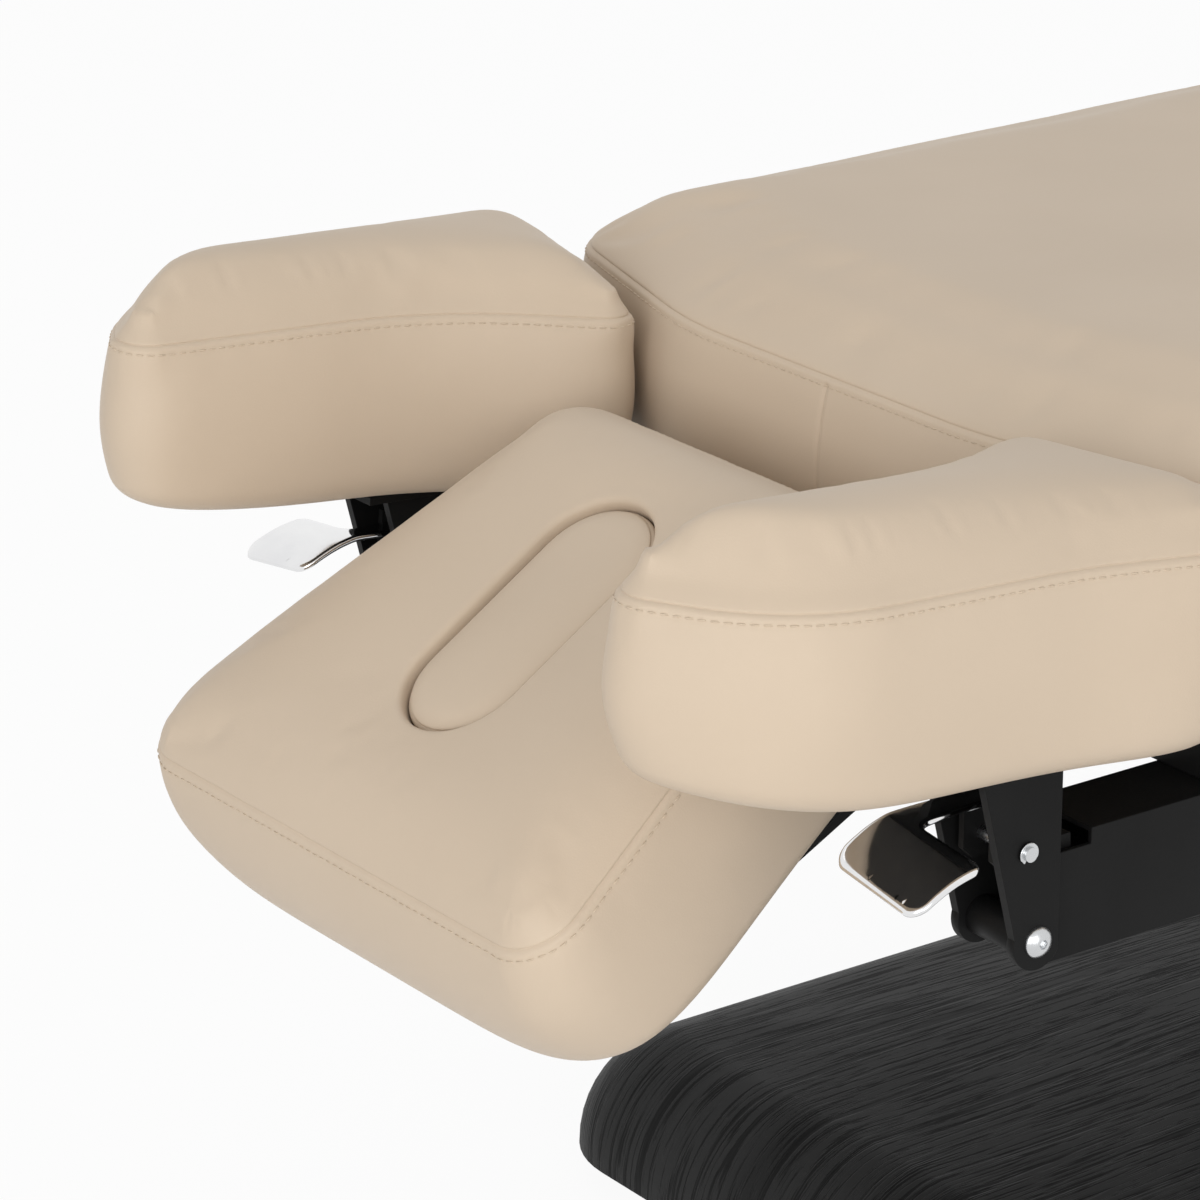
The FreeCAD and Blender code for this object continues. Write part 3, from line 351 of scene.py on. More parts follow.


# Pieces: every new mesh gets a body and a finish, and hides the CAD node it stands for, if any
def piece(name, verts, faces, mat, body, stands_for=None, smooth=True, crease=None):
    mesh = bpy.data.meshes.new(name)
    mesh.from_pydata([tuple(v) for v in verts], [], faces)
    mesh.validate()
    bm = bmesh.new()
    bm.from_mesh(mesh)
    bmesh.ops.recalc_face_normals(bm, faces=bm.faces)
    bm.to_mesh(mesh)
    bm.free()
    if smooth:
        mesh.shade_smooth()
    mesh.materials.append(mat)
    obj = bpy.data.objects.new(name, mesh)
    bpy.context.scene.collection.objects.link(obj)
    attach(obj, body)
    if stands_for:
        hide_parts(stands_for)
    if crease:
        mesh.set_sharp_from_angle(angle=math.radians(crease))
    return obj


# Faces between two closed rings of n points that start at the given indices
def strip(low, high, n):
    return [(low + i, low + (i + 1) % n, high + (i + 1) % n, high + i) for i in range(n)]


# Closed mesh through rings of equal point count
def lofted(rings):
    n = len(rings[0])
    verts = [v for ring in rings for v in ring]
    faces = [tuple(range(n)), tuple(range(len(verts) - n, len(verts)))]
    for k in range(len(rings) - 1):
        faces += strip(k * n, (k + 1) * n, n)
    return verts, faces


def joined(meshes):
    verts, faces = [], []
    for more_verts, more_faces in meshes:
        faces += [tuple(i + len(verts) for i in f) for f in more_faces]
        verts += list(more_verts)
    return verts, faces


# Outlines: closed loops of points in a plane
def lengths(loop):
    return np.linalg.norm(np.roll(loop, -1, 0) - loop, axis=1)


def unit(vectors):
    return vectors / np.linalg.norm(vectors, axis=1)[:, None]


def outward(loop):
    ahead = unit(np.roll(loop, -1, 0) - np.roll(loop, 1, 0))
    return np.column_stack([ahead[:, 1], -ahead[:, 0]])


def evenly(loop, spacing):
    closed = np.vstack([loop, loop[:1]])
    along = np.concatenate([[0.0], np.cumsum(lengths(loop))])
    even = np.linspace(0, along[-1], int(along[-1] / spacing), endpoint=False)
    return np.column_stack([np.interp(even, along, closed[:, k]) for k in range(2)])


# Loop through rounded corners, each with its place and radius, at even spacing
def loop_of(corners, spacing=0.8):
    n = len(corners)
    dense = []
    for i in range(n):
        p0, p1, p2 = (np.array(corners[(i + k - 1) % n][:2]) for k in range(3))
        a, b = (p1 - p0) / np.linalg.norm(p1 - p0), (p2 - p1) / np.linalg.norm(p2 - p1)
        turn = math.atan2(a[0] * b[1] - a[1] * b[0], a @ b)
        room = min(np.linalg.norm(p1 - p0), np.linalg.norm(p2 - p1)) * 0.5
        radius = min(corners[i][2], room / math.tan(abs(turn) / 2))
        start = p1 - a * radius * math.tan(abs(turn) / 2)
        left = np.array((-a[1], a[0])) * math.copysign(radius, turn)
        for k in range(CORNER_STEPS + 1):
            c, s = math.cos(turn * k / CORNER_STEPS), math.sin(turn * k / CORNER_STEPS)
            dense.append(start + left - np.array((c * left[0] - s * left[1], s * left[0] + c * left[1])))
    return evenly(np.array(dense), spacing)


# The same loop with its corners softened by a bell curve of the given width
def softened(loop, width):
    place = loop[:, 0] + 1j * loop[:, 1]
    length = np.abs(np.roll(place, -1) - place).sum()
    pitch = np.fft.fftfreq(len(place), length / len(place))
    place = np.fft.ifft(np.fft.fft(place) * np.exp(-2 * (math.pi * pitch * width) ** 2))
    return np.column_stack([place.real, place.imag])


# Turn per millimetre, positive where the loop bulges outwards
def bend_of(loop):
    normal = outward(loop)
    a, b = np.roll(normal, 4, 0), np.roll(normal, -4, 0)
    return (a[:, 0] * b[:, 1] - a[:, 1] * b[:, 0]) / (8 * lengths(loop))


# How far a loop can be drawn in at each point before it folds over itself
def room_in(loop):
    bend, seg = bend_of(loop), lengths(loop)
    room = np.where(bend > 0, FOLD_SHARE / np.maximum(bend, 1e-4), ROOM_MOST)
    for i in list(range(len(room))) * 2:
        room[i] = min(room[i], room[i - 1] + ROOM_SLOPE * seg[i - 1])
    for i in list(range(len(room) - 1, -1, -1)) * 2:
        room[i - 1] = min(room[i - 1], room[i] + ROOM_SLOPE * seg[i - 1])
    return room


# Outline of a pad in stations that lie closer where it turns: at the seam, and softened below it
def sampled(corners, step, soft_width=0.0, low_width=0.0, joins=()):
    tight = softened(loop_of(corners), 1.4)
    soft = softened(tight, soft_width) if soft_width else tight
    low = softened(tight, low_width) if low_width else soft
    seg = lengths(tight)
    along = np.concatenate([[0.0], np.cumsum(seg)])
    density = np.maximum(1.0 / step, np.abs(bend_of(tight)) / STATION_TURN)
    for _ in range(30):
        density = 0.5 * density + 0.25 * (np.roll(density, 1) + np.roll(density, -1))
    total = np.concatenate([[0.0], np.cumsum(density * seg)])
    stations = np.interp(np.linspace(0, total[-1], int(total[-1]) + 1)[:-1], total, along)
    for point in joins:
        near = along[int(np.argmin(np.linalg.norm(tight - np.array(point), axis=1)))]
        stations = stations[np.abs(stations - near) > JOIN_CLEAR]
        stations = np.concatenate([stations, near + np.array(JOIN_STATIONS)])
    stations = np.sort(stations)

    def pick(table):
        columns = table.reshape(len(table), -1).T
        return np.column_stack([np.interp(stations, along, np.append(c, c[0])) for c in columns])

    loops = [SimpleNamespace(points=pick(loop), out=unit(pick(outward(loop))), room=pick(room_in(loop))[:, 0])
             for loop in (tight, soft, low)]
    return SimpleNamespace(seam=loops[0], loops=loops, along=stations, length=along[-1])


def eased_step(value):
    value = min(1.0, max(0.0, value))
    return value * value * (3 - 2 * value)


# Outline at a depth below the seam: tight at the seam, softer below it, roundest at the bottom
def outline_at(line, deep, depth, taper):
    first = eased_step((deep - 2.0) / SOFTEN_BELOW)
    last = eased_step((deep - taper * depth) / ((1 - taper) * depth))
    share = (1 - first, first * (1 - last), first * last)

    def blend(key):
        return sum(w * getattr(loop, key) for w, loop in zip(share, line.loops))

    return blend("points"), unit(blend("out")), blend("room")


def inside(points, loop):
    x, y = points[:, 0][:, None], points[:, 1][:, None]
    x0, y0 = loop[:, 0], loop[:, 1]
    x1, y1 = np.roll(x0, -1), np.roll(y0, -1)
    crosses = ((y0 > y) != (y1 > y)) & (x < (x1 - x0) * (y - y0) / (y1 - y0 + 1e-12) + x0)
    return crosses.sum(axis=1) % 2 == 1


def distance(points, loop):
    a, b = loop, np.roll(loop, -1, 0)
    d = b - a
    t = ((points[:, None, :] - a) * d).sum(2) / ((d * d).sum(1) + 1e-12)
    nearest = a + np.clip(t, 0, 1)[:, :, None] * d
    return np.sqrt(((points[:, None, :] - nearest) ** 2).sum(2)).min(1)


def in_loops(points, loops):
    keep = inside(points, loops[0])
    for hole in loops[1:]:
        keep &= ~inside(points, hole)
    return keep


# Triangles that fill a loop, less its holes, with a regular scatter of points inside
def filled(loops, spacing):
    scatter = np.zeros((0, 2))
    if spacing:
        low, high = loops[0].min(0), loops[0].max(0)
        grid = []
        for k, y in enumerate(np.arange(low[1], high[1], spacing * 0.866)):
            grid += [(x, y) for x in np.arange(low[0] + (k % 2) * spacing / 2, high[0], spacing)]
        grid = np.array(grid)
        grid = grid[in_loops(grid, loops)]
        gap = np.min([distance(grid, loop) for loop in loops], axis=0)
        scatter = grid[gap > spacing * 0.55]
    points = np.vstack(list(loops) + [scatter])
    edges = []
    base = 0
    for loop in loops:
        edges += [(base + i, base + (i + 1) % len(loop)) for i in range(len(loop))]
        base += len(loop)
    verts, _, faces, origin, _, _ = delaunay_2d_cdt([Vector(p) for p in points], edges, [], 0, 1e-7)
    first = [o[0] for o in origin]
    middle = np.array([np.mean([verts[i] for i in f], axis=0) for f in faces])
    keep = in_loops(middle, loops)
    return scatter, [tuple(first[i] for i in f) for f, good in zip(faces, keep) if good]


# Height of a top panel's inner points, evened out against their neighbours
def settled(height, rim, faces, first, rounds=3):
    a, b = np.array([(f[i], f[i - 1]) for f in faces for i in range(3)]).T
    value = np.concatenate([rim, np.full(first - len(rim), np.nan), height])
    for _ in range(rounds):
        known = ~np.isnan(value)
        total, count = np.zeros(len(value)), np.zeros(len(value))
        for near, far in ((a, b), (b, a)):
            good = known[far]
            np.add.at(total, near[good], value[far[good]])
            np.add.at(count, near[good], 1)
        value[first:] = 0.5 * value[first:] + 0.5 * (total / np.maximum(count, 1))[first:]
    return value[first:]


# Board in the recess of a pad's underside
def board_under(node, ring, low, place, body, hole):
    loops = [ring] + ([loop_of(hole, 4.0)] if hole else [])
    _, faces = filled(loops, 0)
    flat = np.vstack(loops)
    count = len(flat)
    verts = [place((*p, low + h)) for h in (0.0, BOARD_T) for p in flat]
    quads = faces + [tuple(i + count for i in f) for f in faces]
    start = 0
    for loop in loops:
        quads += strip(start, start + count, len(loop))
        start += len(loop)
    return piece(node + "_ply", verts, quads, board, body, node, smooth=False)


# A plain pad in millimetres: each pad gives only what differs from it
PLAIN_PAD = dict(seam=SEAM_Z, depth=PAD_DEPTH, step=8.0, bulge=9.0, crown=29.0, reach=52.0, dome=9.0,
                 under=26.0, soft=14.0, low=24.0, taper=0.45, pucker=0.22, seed=0.0, joins=(), hole=None,
                 ledge=None, recess=0.0, lip=0.0, belly=0.0, lean=0.0, tuck=0.0, slim=0.0)


# Share of a pad's pointed front end, from one at its tip to none behind it
def nose(line, y):
    return np.clip(1 - (y - line.seam.points[:, 1].min()) / NOSE, 0, 1) ** 2


def rise(pad, gap, reach):
    return pad.crown * (1 - np.clip(1 - gap / reach, 0, 1) ** CROWN_POWER)


# Small puckers along a seam, stronger where it turns
def puckers(line, pad):
    flow = np.zeros(len(line.along))
    for wave, size in PUCKERS:
        turns = max(1, round(line.length / wave))
        flow += size * np.sin(2 * math.pi * turns * line.along / line.length + pad.seed + wave)
    return flow * (pad.pucker * (0.7 + 0.8 * np.clip(TIGHT_TURN / line.seam.room, 0, 1) ** 2))


# Side of a pad: how far out of the outline each ring lies, and its height from the seam
def side_rings(pad):
    rings = []
    for out, t in FLAP + [(BAND_OUT, t * pad.depth / PAD_DEPTH) for t in BAND_DEPTHS]:
        swell = pad.bulge * math.sin(math.pi * min(1.0, t / pad.depth)) ** SWELL_POWER
        swell = swell + pad.lip * (1 - math.exp(-t / LIP_DEEP))
        low = max(0.0, t - (pad.depth - pad.under)) / pad.under
        out = out + swell - pad.under * UNDER_SHARE * (1 - math.sqrt(max(0.0, 1 - low * low)))
        rings.append((out, -t))
    if pad.recess:
        return rings + [(-RECESS_INSET, -pad.depth), (-RECESS_INSET, pad.recess - pad.depth)]
    return rings + [(rings[-1][0] - FOOT_INSET, -pad.depth)]


# Points of each side ring, and how far the lowest one is lifted where the outline is too tight to draw in
def side_layers(line, pad, flow):
    layers = []
    for out, z in side_rings(pad):
        share = min(1.0, -z / pad.depth)
        base, normal, room = outline_at(line, min(-z, pad.depth), pad.depth, pad.taper)
        fade = math.exp(-((abs(z) - PUCKER_BELOW) / PUCKER_BELOW_SPREAD) ** 2) if z < -1 else 0.0
        front = pad.belly * math.sin(math.pi * share) * np.clip(-normal[:, 1], 0, 1) ** 2
        shift = out + front + fade * flow
        lift = 0.9 * np.maximum(0.0, -room - shift) + pad.tuck * nose(line, base[:, 1]) * share ** 2
        shift = np.maximum(shift, -room)
        for point in pad.joins:
            near = np.linalg.norm(line.seam.points - np.array(point), axis=1)
            if z < -JOIN_START:
                shift = shift - JOIN_GROOVE * np.exp(-(near / JOIN_GROOVE) ** 2)
        layers.append(np.column_stack([base + normal * shift[:, None], z + lift]))
    return layers, lift


# Roll of the top panel just inside the seam
def roll_layers(line, pad, flow):
    tight, room = line.seam.points, line.seam.room
    reach = pad.reach * (1 - pad.slim * nose(line, tight[:, 1]))
    layers = []
    for out, z in ROLL:
        fade = math.exp(-((out + PUCKER_ABOVE) / PUCKER_ABOVE_SPREAD) ** 2)
        inset = room * np.tanh(-out / room)
        z = np.minimum(z, 0.4 + rise(pad, inset, reach))
        layers.append(np.column_stack([tight - line.seam.out * inset[:, None], z + 0.5 * fade * flow]))
    return layers


# Wall of a slot through a pad: a rounded rim, then straight down to the board
def slot_layers(pad, edge):
    rings = []
    for k in range(5):
        turn = math.pi / 2 * k / 4
        rings.append((SLOT_RIM * (1 - math.sin(turn)), SLOT_RIM * (math.cos(turn) - 1)))
    rings += [(0.0, -SLOT_RIM - d) for d in SLOT_STEPS]
    top = pad.crown + pad.dome - SLOT_DIP
    rings = [(out, top + z) for out, z in rings] + [(0.0, pad.recess - pad.depth)]
    return [np.column_stack([edge.points + edge.out * out, np.full(len(edge.points), z)]) for out, z in rings]


# Height of the top panel inside its roll: crowned, domed, and fuller towards the front by lean
def panel_height(line, pad, scatter, faces, rim, first, edge):
    tight = line.seam.points
    gap = distance(scatter, tight)
    middle, half = tight[:, 1].mean(), 0.5 * np.ptp(tight[:, 1])
    height = rise(pad, gap, pad.reach) * (1 + pad.lean * (middle - scatter[:, 1]) / half)
    height = height + pad.dome * (1 - np.clip(1 - gap / DOME_REACH, 0, 1) ** 2)
    height = settled(height, rim, faces, first)
    if edge:
        beyond = distance(scatter, edge.points) - SLOT_RIM
        height = height - SLOT_DIP * np.exp(-(beyond / SLOT_DIP_SPREAD) ** 2)
    return height


# Cushion: a band with a stitched flap under the seam, rounded under, and a crowned top panel
def cushion(name, corners, place, body, node, **changes):
    pad = SimpleNamespace(**{**PLAIN_PAD, **changes})
    line = sampled(corners, pad.step, pad.soft, pad.low, pad.joins)
    n = len(line.along)
    flow = puckers(line, pad)
    sides, lift = side_layers(line, pad, flow)
    layers = sides + roll_layers(line, pad, flow)
    edge = sampled(pad.hole, 5.0).seam if pad.hole else None
    walls = slot_layers(pad, edge) if edge else []
    loops = [layers[-1][:, :2]] + [wall[:, :2] for wall in walls[:1]]
    bottom = [sides[-1][:, :2]] + [wall[:, :2] for wall in walls[-1:]]
    scatter, faces = filled(loops, FINE_PANEL if line.length < LONG_SEAM else COARSE_PANEL)
    height = panel_height(line, pad, scatter, faces, layers[-1][:, 2], sum(len(loop) for loop in loops), edge)
    verts = np.vstack(layers + walls + [np.column_stack([scatter, height])])

    quads = []
    order = list(range(len(sides) - 1, -1, -1)) + list(range(len(sides), len(layers)))
    for low, high in zip(order, order[1:]):
        quads += strip(low * n, high * n, n)
    count = len(layers) * n
    top_index = [(len(layers) - 1) * n + i for i in range(n)]
    low_index = [(len(sides) - 1) * n + i for i in range(n)]
    if walls:
        m = len(walls[0])
        for k in range(len(walls) - 1):
            quads += strip(count + k * m, count + (k + 1) * m, m)
        top_index += [count + i for i in range(m)]
        low_index += [count + (len(walls) - 1) * m + i for i in range(m)]
        count += len(walls) * m
    top_index += [count + i for i in range(len(scatter))]
    quads += [tuple(top_index[i] for i in f) for f in faces]
    _, low_faces = filled(bottom, 0)
    quads += [tuple(low_index[i] for i in f) for f in low_faces]

    obj = piece(name, [place(v + (0, 0, pad.seam)) for v in verts], quads, vinyl, body, node)
    firm = list(range(FIRM_FLAP_RINGS))
    firm += list(range(len(sides) - FIRM_FOOT_RINGS, len(sides) + FIRM_ROLL_RINGS))
    sewn = [k * n + i for k in firm for i in range(n)] + list(range(len(layers) * n, count))
    obj.vertex_groups.new(name="sewn").add(sewn, 1.0, "REPLACE")
    if pad.recess:
        ring = softened(evenly(bottom[0][lift < 1.0], 2.5), 5.0)
        board_under(node.replace("pad", "board"), ring, pad.seam - pad.depth, place, body, pad.ledge)
    return obj, np.arange(STITCH_RING * n, (STITCH_RING + 1) * n)


# Foam pushes the cover out between its seams: one short run of cloth for all pads together
def inflate(pads, limit):
    scene = bpy.context.scene
    before = []
    for obj in pads:
        before.append(np.array([v.co for v in obj.data.vertices]))
        cloth = obj.modifiers.new("cover", "CLOTH")
        cloth.settings.use_pressure = True
        cloth.settings.uniform_pressure_force = 4.0
        cloth.settings.tension_stiffness = 20.0
        cloth.settings.compression_stiffness = 20.0
        cloth.settings.bending_stiffness = 2.0
        cloth.settings.vertex_group_mass = "sewn"
        cloth.settings.effector_weights.gravity = 0.0
        cloth.settings.quality = 4
        cloth.collision_settings.use_collision = False
        cloth.point_cache.frame_start = 1
        cloth.point_cache.frame_end = CLOTH_FRAMES
    for number in range(1, CLOTH_FRAMES + 1):
        scene.frame_set(number)
    graph = bpy.context.evaluated_depsgraph_get()
    for obj, old in zip(pads, before):
        shown = obj.evaluated_get(graph)
        move = np.array([v.co for v in shown.data.vertices]) - old
        size = np.linalg.norm(move, axis=1)
        move *= np.minimum(1.0, limit / np.maximum(size, 1e-9))[:, None]
        obj.modifiers.clear()
        obj.data.vertices.foreach_set("co", (old + move).ravel())
        obj.data.update()
    scene.frame_set(1)


# Row of stitches along a ring of a pad's own points
def stitching(name, pad, row, body):
    line = np.array([pad.data.vertices[int(i)].co for i in row])
    normal = np.array([pad.data.vertices[int(i)].normal for i in row])
    along = np.concatenate([[0.0], np.cumsum(lengths(line))])
    count = int(along[-1] / (STITCH_PITCH * MM))
    half = 0.36 * STITCH_PITCH * MM

    def at(s, table):
        closed = np.vstack([table, table[:1]])
        return np.array([np.interp(s % along[-1], along, closed[:, k]) for k in range(3)])

    verts, faces = [], []
    for k in range(count):
        middle = along[-1] * (k + 0.5) / count
        base = len(verts)
        for u, lift, radius in STITCH:
            s = middle + u * half
            p = at(s, line)
            up = at(s, normal)
            up = up / np.linalg.norm(up)
            ahead = at(s + 0.001, line) - at(s - 0.001, line)
            side = np.cross(ahead / np.linalg.norm(ahead), up)
            for j in range(STITCH_SIDES):
                a = 2 * math.pi / STITCH_SIDES * j
                verts.append(p + up * (lift + radius * math.sin(a)) * MM + side * radius * MM * math.cos(a))
        last = len(verts) - STITCH_SIDES
        for start in range(base, last, STITCH_SIDES):
            faces += strip(start, start + STITCH_SIDES, STITCH_SIDES)
        faces += [tuple(start + j for j in range(STITCH_SIDES)) for start in (base, last)]
    return piece(name, verts, faces, thread, body)


# Where a pad's own millimetres lie in the frame
def level(point):
    return Vector(point) * MM


def head_place(point):
    swung = Matrix.Rotation(HEAD_REST, 3, "X") @ Vector(point)
    return (swung + Vector((0, *HEAD_SHAFT))) * MM


def arm_place(side):
    def place(point):
        flat = Vector((point[0], point[1], point[2] - ARM_SEAM))
        swung = Matrix.Rotation(-ARM_TILT, 3, "X") @ flat
        moved = swung + Vector((0, PIVOT[0], PIVOT[1] + ARM_SEAM))
        return Vector((side * moved.x, moved.y, moved.z)) * MM
    return place


def symmetric(right):
    return right + [(-x, y, r) for x, y, r in right[::-1]]


# Outlines of the pads at their seams: corners with their radii
BACK = symmetric([(134, -755, 260), (322, -701, 55), (345, 37, 55)])
SEAT = symmetric([(345, 63, 55), (345, 467, 55)])
LEGS = symmetric([(345, 493, 55), (345, 1081, 110)])
HEAD = [(192, -324, 30), (159, -158.6, 420), (140, -12, 34), (-137, -12, 34), (-184, -205, 300),
        (-199, -282, 90), (-187, -326, 28)]
SLOT = symmetric([(41, -245, 40.9), (41, -69, 40.9)])
LEDGE = symmetric([(29, -233, 28.9), (29, -81, 28.9)])
PLUG = symmetric([(38.3, -242.3, 38.2), (38.3, -71.7, 38.2)])
ARM_RIGHT = [(236, -245.6, 20), (328, -184, 105), (328, -4, 260), (353, 137.1, 45), (162, 80.5, 16),
             (206, -20, 320)]
ARM_LEFT = [(238.5, -228.4, 20), (322, -176, 105), (344, -4, 400), (357, 138.2, 45), (156, 80.5, 16),
            (231, -14, 220)]

# Pads with the places of their upright seams, and a number that shifts the puckers
TOP_PADS = (("back", BACK, "back", [(0, -755)], 0.4),
            ("seat", SEAT, "main", [(345, 265), (-345, 265)], 1.7),
            ("leg", LEGS, "leg", [(0, 1081)], 2.9))
ARM_JOIN = (156, 80.5)
ARM_PADS = ((-1, "left", ARM_LEFT, dict(lean=0.16, soft=13.0, slim=0.0)),
            (1, "right", ARM_RIGHT, dict(lean=0.28, soft=9.0, slim=0.3)))

pads = []
for name, corners, body, joins, seed in TOP_PADS:
    made = cushion(name + "_cushion", corners, level, body, name + "_pad", step=9.0, joins=joins, seed=seed)
    pads.append((name, body, *made))
made = cushion("head_cushion", HEAD, head_place, "head", "head_pad", seam=HEAD_SEAM, depth=112.0, crown=21.0,
               reach=34.0, dome=2.0, under=20.0, soft=6.0, low=40.0, taper=0.0, seed=3.3, hole=SLOT,
               ledge=LEDGE, recess=RECESS, belly=10.0)
pads.append(("head", "head", *made))
made = cushion("plug_cushion", PLUG, head_place, "plug", "breath_plug", seam=HEAD_SEAM + PLUG_RISE,
               depth=114.5, step=5.0, bulge=-0.6, crown=5.0, reach=16.0, dome=2.0, under=8.0, soft=0.0,
               low=0.0, pucker=0.1, seed=5.0, lip=1.6)
pads.append(("plug", "plug", *made))
for side, word, corners, own in ARM_PADS:
    body = "armrest_" + word
    made = cushion("armrest_cushion_" + word, corners, arm_place(side), body, "armrest_pad_" + word,
                   seam=ARM_SEAM, step=7.0, bulge=8.0, crown=34.0, reach=38.0, dome=5.0, under=17.0, seed=1.1,
                   joins=[ARM_JOIN], recess=RECESS, tuck=14.0, **own)
    pads.append((body, body, *made))
inflate([obj for _, _, obj, _ in pads], COVER_LIMIT)
for name, body, obj, row in pads:
    if name != "plug":
        stitching(name + "_topstitch", obj, row, body)
    smooth = obj.modifiers.new("smooth", "SUBSURF")
    smooth.levels = 1
    smooth.render_levels = 1


# Hard pieces keep their CAD shape, with eased edges and their own finish
def eased(obj, width):
    merge = obj.modifiers.new("weld", "WELD")
    merge.merge_threshold = 0.00002
    plane = obj.modifiers.new("plane", "DECIMATE")
    plane.decimate_type = "DISSOLVE"
    plane.angle_limit = math.radians(0.6)
    edge = obj.modifiers.new("edge", "BEVEL")
    edge.width = width * MM
    edge.segments = 2
    edge.limit_method = "ANGLE"
    edge.angle_limit = math.radians(35)
    edge.harden_normals = True


# Width of the eased edges in millimetres, and the pieces that have it
EASE = ((3.0, ("control_box",)),
        (2.0, ("back_drive_body", "leg_drive_body")),
        (1.4, ("back_rails", "back_cross_tubes", "leg_rails", "leg_cross_tubes", "main_rails",
               "main_cross_tubes", "seat_cross_tubes", "base_tubes")),
        (1.2, ("column_outers", "column_middles", "column_inners")),
        (1.0, ("mains_inlet", "base_posts")),
        (0.8, ("base_plates", "column_flanges", "levelling_feet", "back_deck", "seat_deck", "leg_deck")),
        (0.7, ("armrest_bracket_left", "armrest_bracket_right", "head_hinge_ears", "head_arms",
               "back_hinge_plates", "seat_hinge_plates", "leg_hinge_plates", "back_cranks", "leg_cranks")),
        (0.5, ("section_hinge_bolts",)))
for node, obj in NODES.items():
    if SLOT_OF[node] != "vinyl":
        obj.data.materials.clear()
        obj.data.materials.append(FINISH[SLOT_OF[node]])
for width, names in EASE:
    for node in names:
        eased(NODES[node], width)


# Wood cover of the base: the grain runs lengthwise and folds over the rounded edges
def oak_cover():
    bm = bmesh.new()
    bm.from_mesh(NODES["base_cover"].data)
    bmesh.ops.remove_doubles(bm, verts=bm.verts, dist=0.00002)
    verts = [v.co.copy() for v in bm.verts]
    faces = [tuple(v.index for v in f.verts) for f in bm.faces]
    bm.free()
    obj = piece("oak_base_cover", verts, faces, oak, "base", "base_cover", crease=32)
    radius = BASE_EDGE_R * MM
    high = np.array(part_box("base_cover")[1])
    flat = high[:2] - radius
    crest = high[2] - radius
    grid = obj.data.uv_layers.new(name="grain")
    for loop in obj.data.loops:
        place = np.array(obj.data.vertices[loop.vertex_index].co)
        near = np.clip(place[:2], -flat, flat)
        away = place[:2] - near
        reach = np.linalg.norm(away)
        if place[2] > crest:
            run = radius * math.atan2(reach, place[2] - crest)
        else:
            run = radius * math.pi / 2 + crest - place[2]
        grid.data[loop.index].uv = near + away / max(reach, 1e-9) * run if reach > 1e-6 else near


# Smooth run of values through given stations
def spline(table, count):
    table = np.array(table, dtype=float)
    ends = np.vstack([2 * table[0] - table[1], table, 2 * table[-1] - table[-2]])
    out = []
    for t in np.linspace(0, len(table) - 1, count):
        i = min(int(t), len(table) - 2)
        f = t - i
        p0, p1, p2, p3 = ends[i:i + 4]
        second = (2 * p0 - 5 * p1 + 4 * p2 - p3) * f ** 2
        third = (3 * p1 - p0 - 3 * p2 + p3) * f ** 3
        out.append(0.5 * (2 * p1 + (p2 - p0) * f + second + third))
    return np.array(out)


# Plate of even thickness with a rounded rim, over an outline, at a height that varies across it
def sheet_mesh(corners, height, thick, spacing):
    loop = loop_of(corners, 1.2)
    normal = outward(loop)
    half = 0.5 * thick
    upper = [(3.0, half), (1.4, half), (0.5, 0.82 * half), (0.0, 0.4 * half)]
    rim = upper + [(inset, -z) for inset, z in upper[::-1]]
    rings = [loop - normal * inset for inset, _ in rim]
    scatter, faces = filled(rings[:1], spacing)
    n, count = len(loop), len(loop) * len(rim)
    verts = [(x, y, height(x, y) + z) for ring, (_, z) in zip(rings, rim) for x, y in ring]
    verts += [(x, y, height(x, y) + z) for z in (half, -half) for x, y in scatter]
    quads = []
    for k in range(len(rim) - 1):
        quads += strip(k * n, (k + 1) * n, n)
    for edge, inner in ((0, count), (count - n, count + len(scatter))):
        quads += [tuple(edge + i if i < n else inner + i - n for i in f) for f in faces]
    return verts, quads


# Release paddle: a strap between the bracket plates that widens into a pitched blade, and a dark latch lever
def paddle(side, word, front, width, top, raised):
    inner = MID_X - STRAP_HALF
    outer = inner + width
    neck = inner + NECK_W
    rear = front + BLADE_LONG
    outline = [(inner, front, 10), (outer, front - 4, 10), (outer, rear, 8), (neck, rear, 8),
               (neck, STRAP_END, 4.5), (inner, STRAP_END, 4.5)]
    bend = spline(BLADE_BEND, 120)

    def height(x, y):
        along = y - front
        drop = np.interp(along, (0, BLADE_LONG, 44, 70), (5.0, 8.0, 8.0, 0.0)) * (x - inner) / BLADE_WIDE
        return top + float(np.interp(along, bend[:, 0], bend[:, 1])) - drop

    pin_y, pin_z = PIN[0] - PIVOT[0], PIN[1] - PIVOT[1]

    def plate(outline, low, high):
        return lofted([[(MID_X + x, pin_y + y, pin_z + z) for y, z in outline] for x in (low, high)])

    lever = [plate(CHEEK, -STRAP_HALF, STRIP_T - STRAP_HALF), plate(CHEEK, STRAP_HALF - STRIP_T, STRAP_HALF),
             plate(TAIL, -TAIL_HALF, TAIL_HALF)]
    lift = Matrix.Rotation(math.radians(-raised), 3, "X")
    centre = Vector((0, *PIN))

    def placed(points):
        spots = [Vector((side * x, y + PIVOT[0], z + PIVOT[1])) for x, y, z in points]
        return [(lift @ (spot - centre) + centre) * MM for spot in spots]

    body = "release_paddle_" + word
    verts, faces = sheet_mesh(outline, height, STRIP_T, 3.0)
    piece("chrome_paddle_" + word, placed(verts), faces, chrome, body, "paddle_" + word, crease=60)
    verts, faces = joined(lever)
    piece("latch_lever_" + word, placed(verts), faces, powder, body, smooth=False)


# Rings about the X axis: round ones through a profile, and a hexagon drawn with as many points
def turned(profile, count=40):
    turns = [2 * math.pi * k / count for k in range(count)]
    return [[(x, r * math.cos(a), r * math.sin(a)) for a in turns] for x, r in profile]


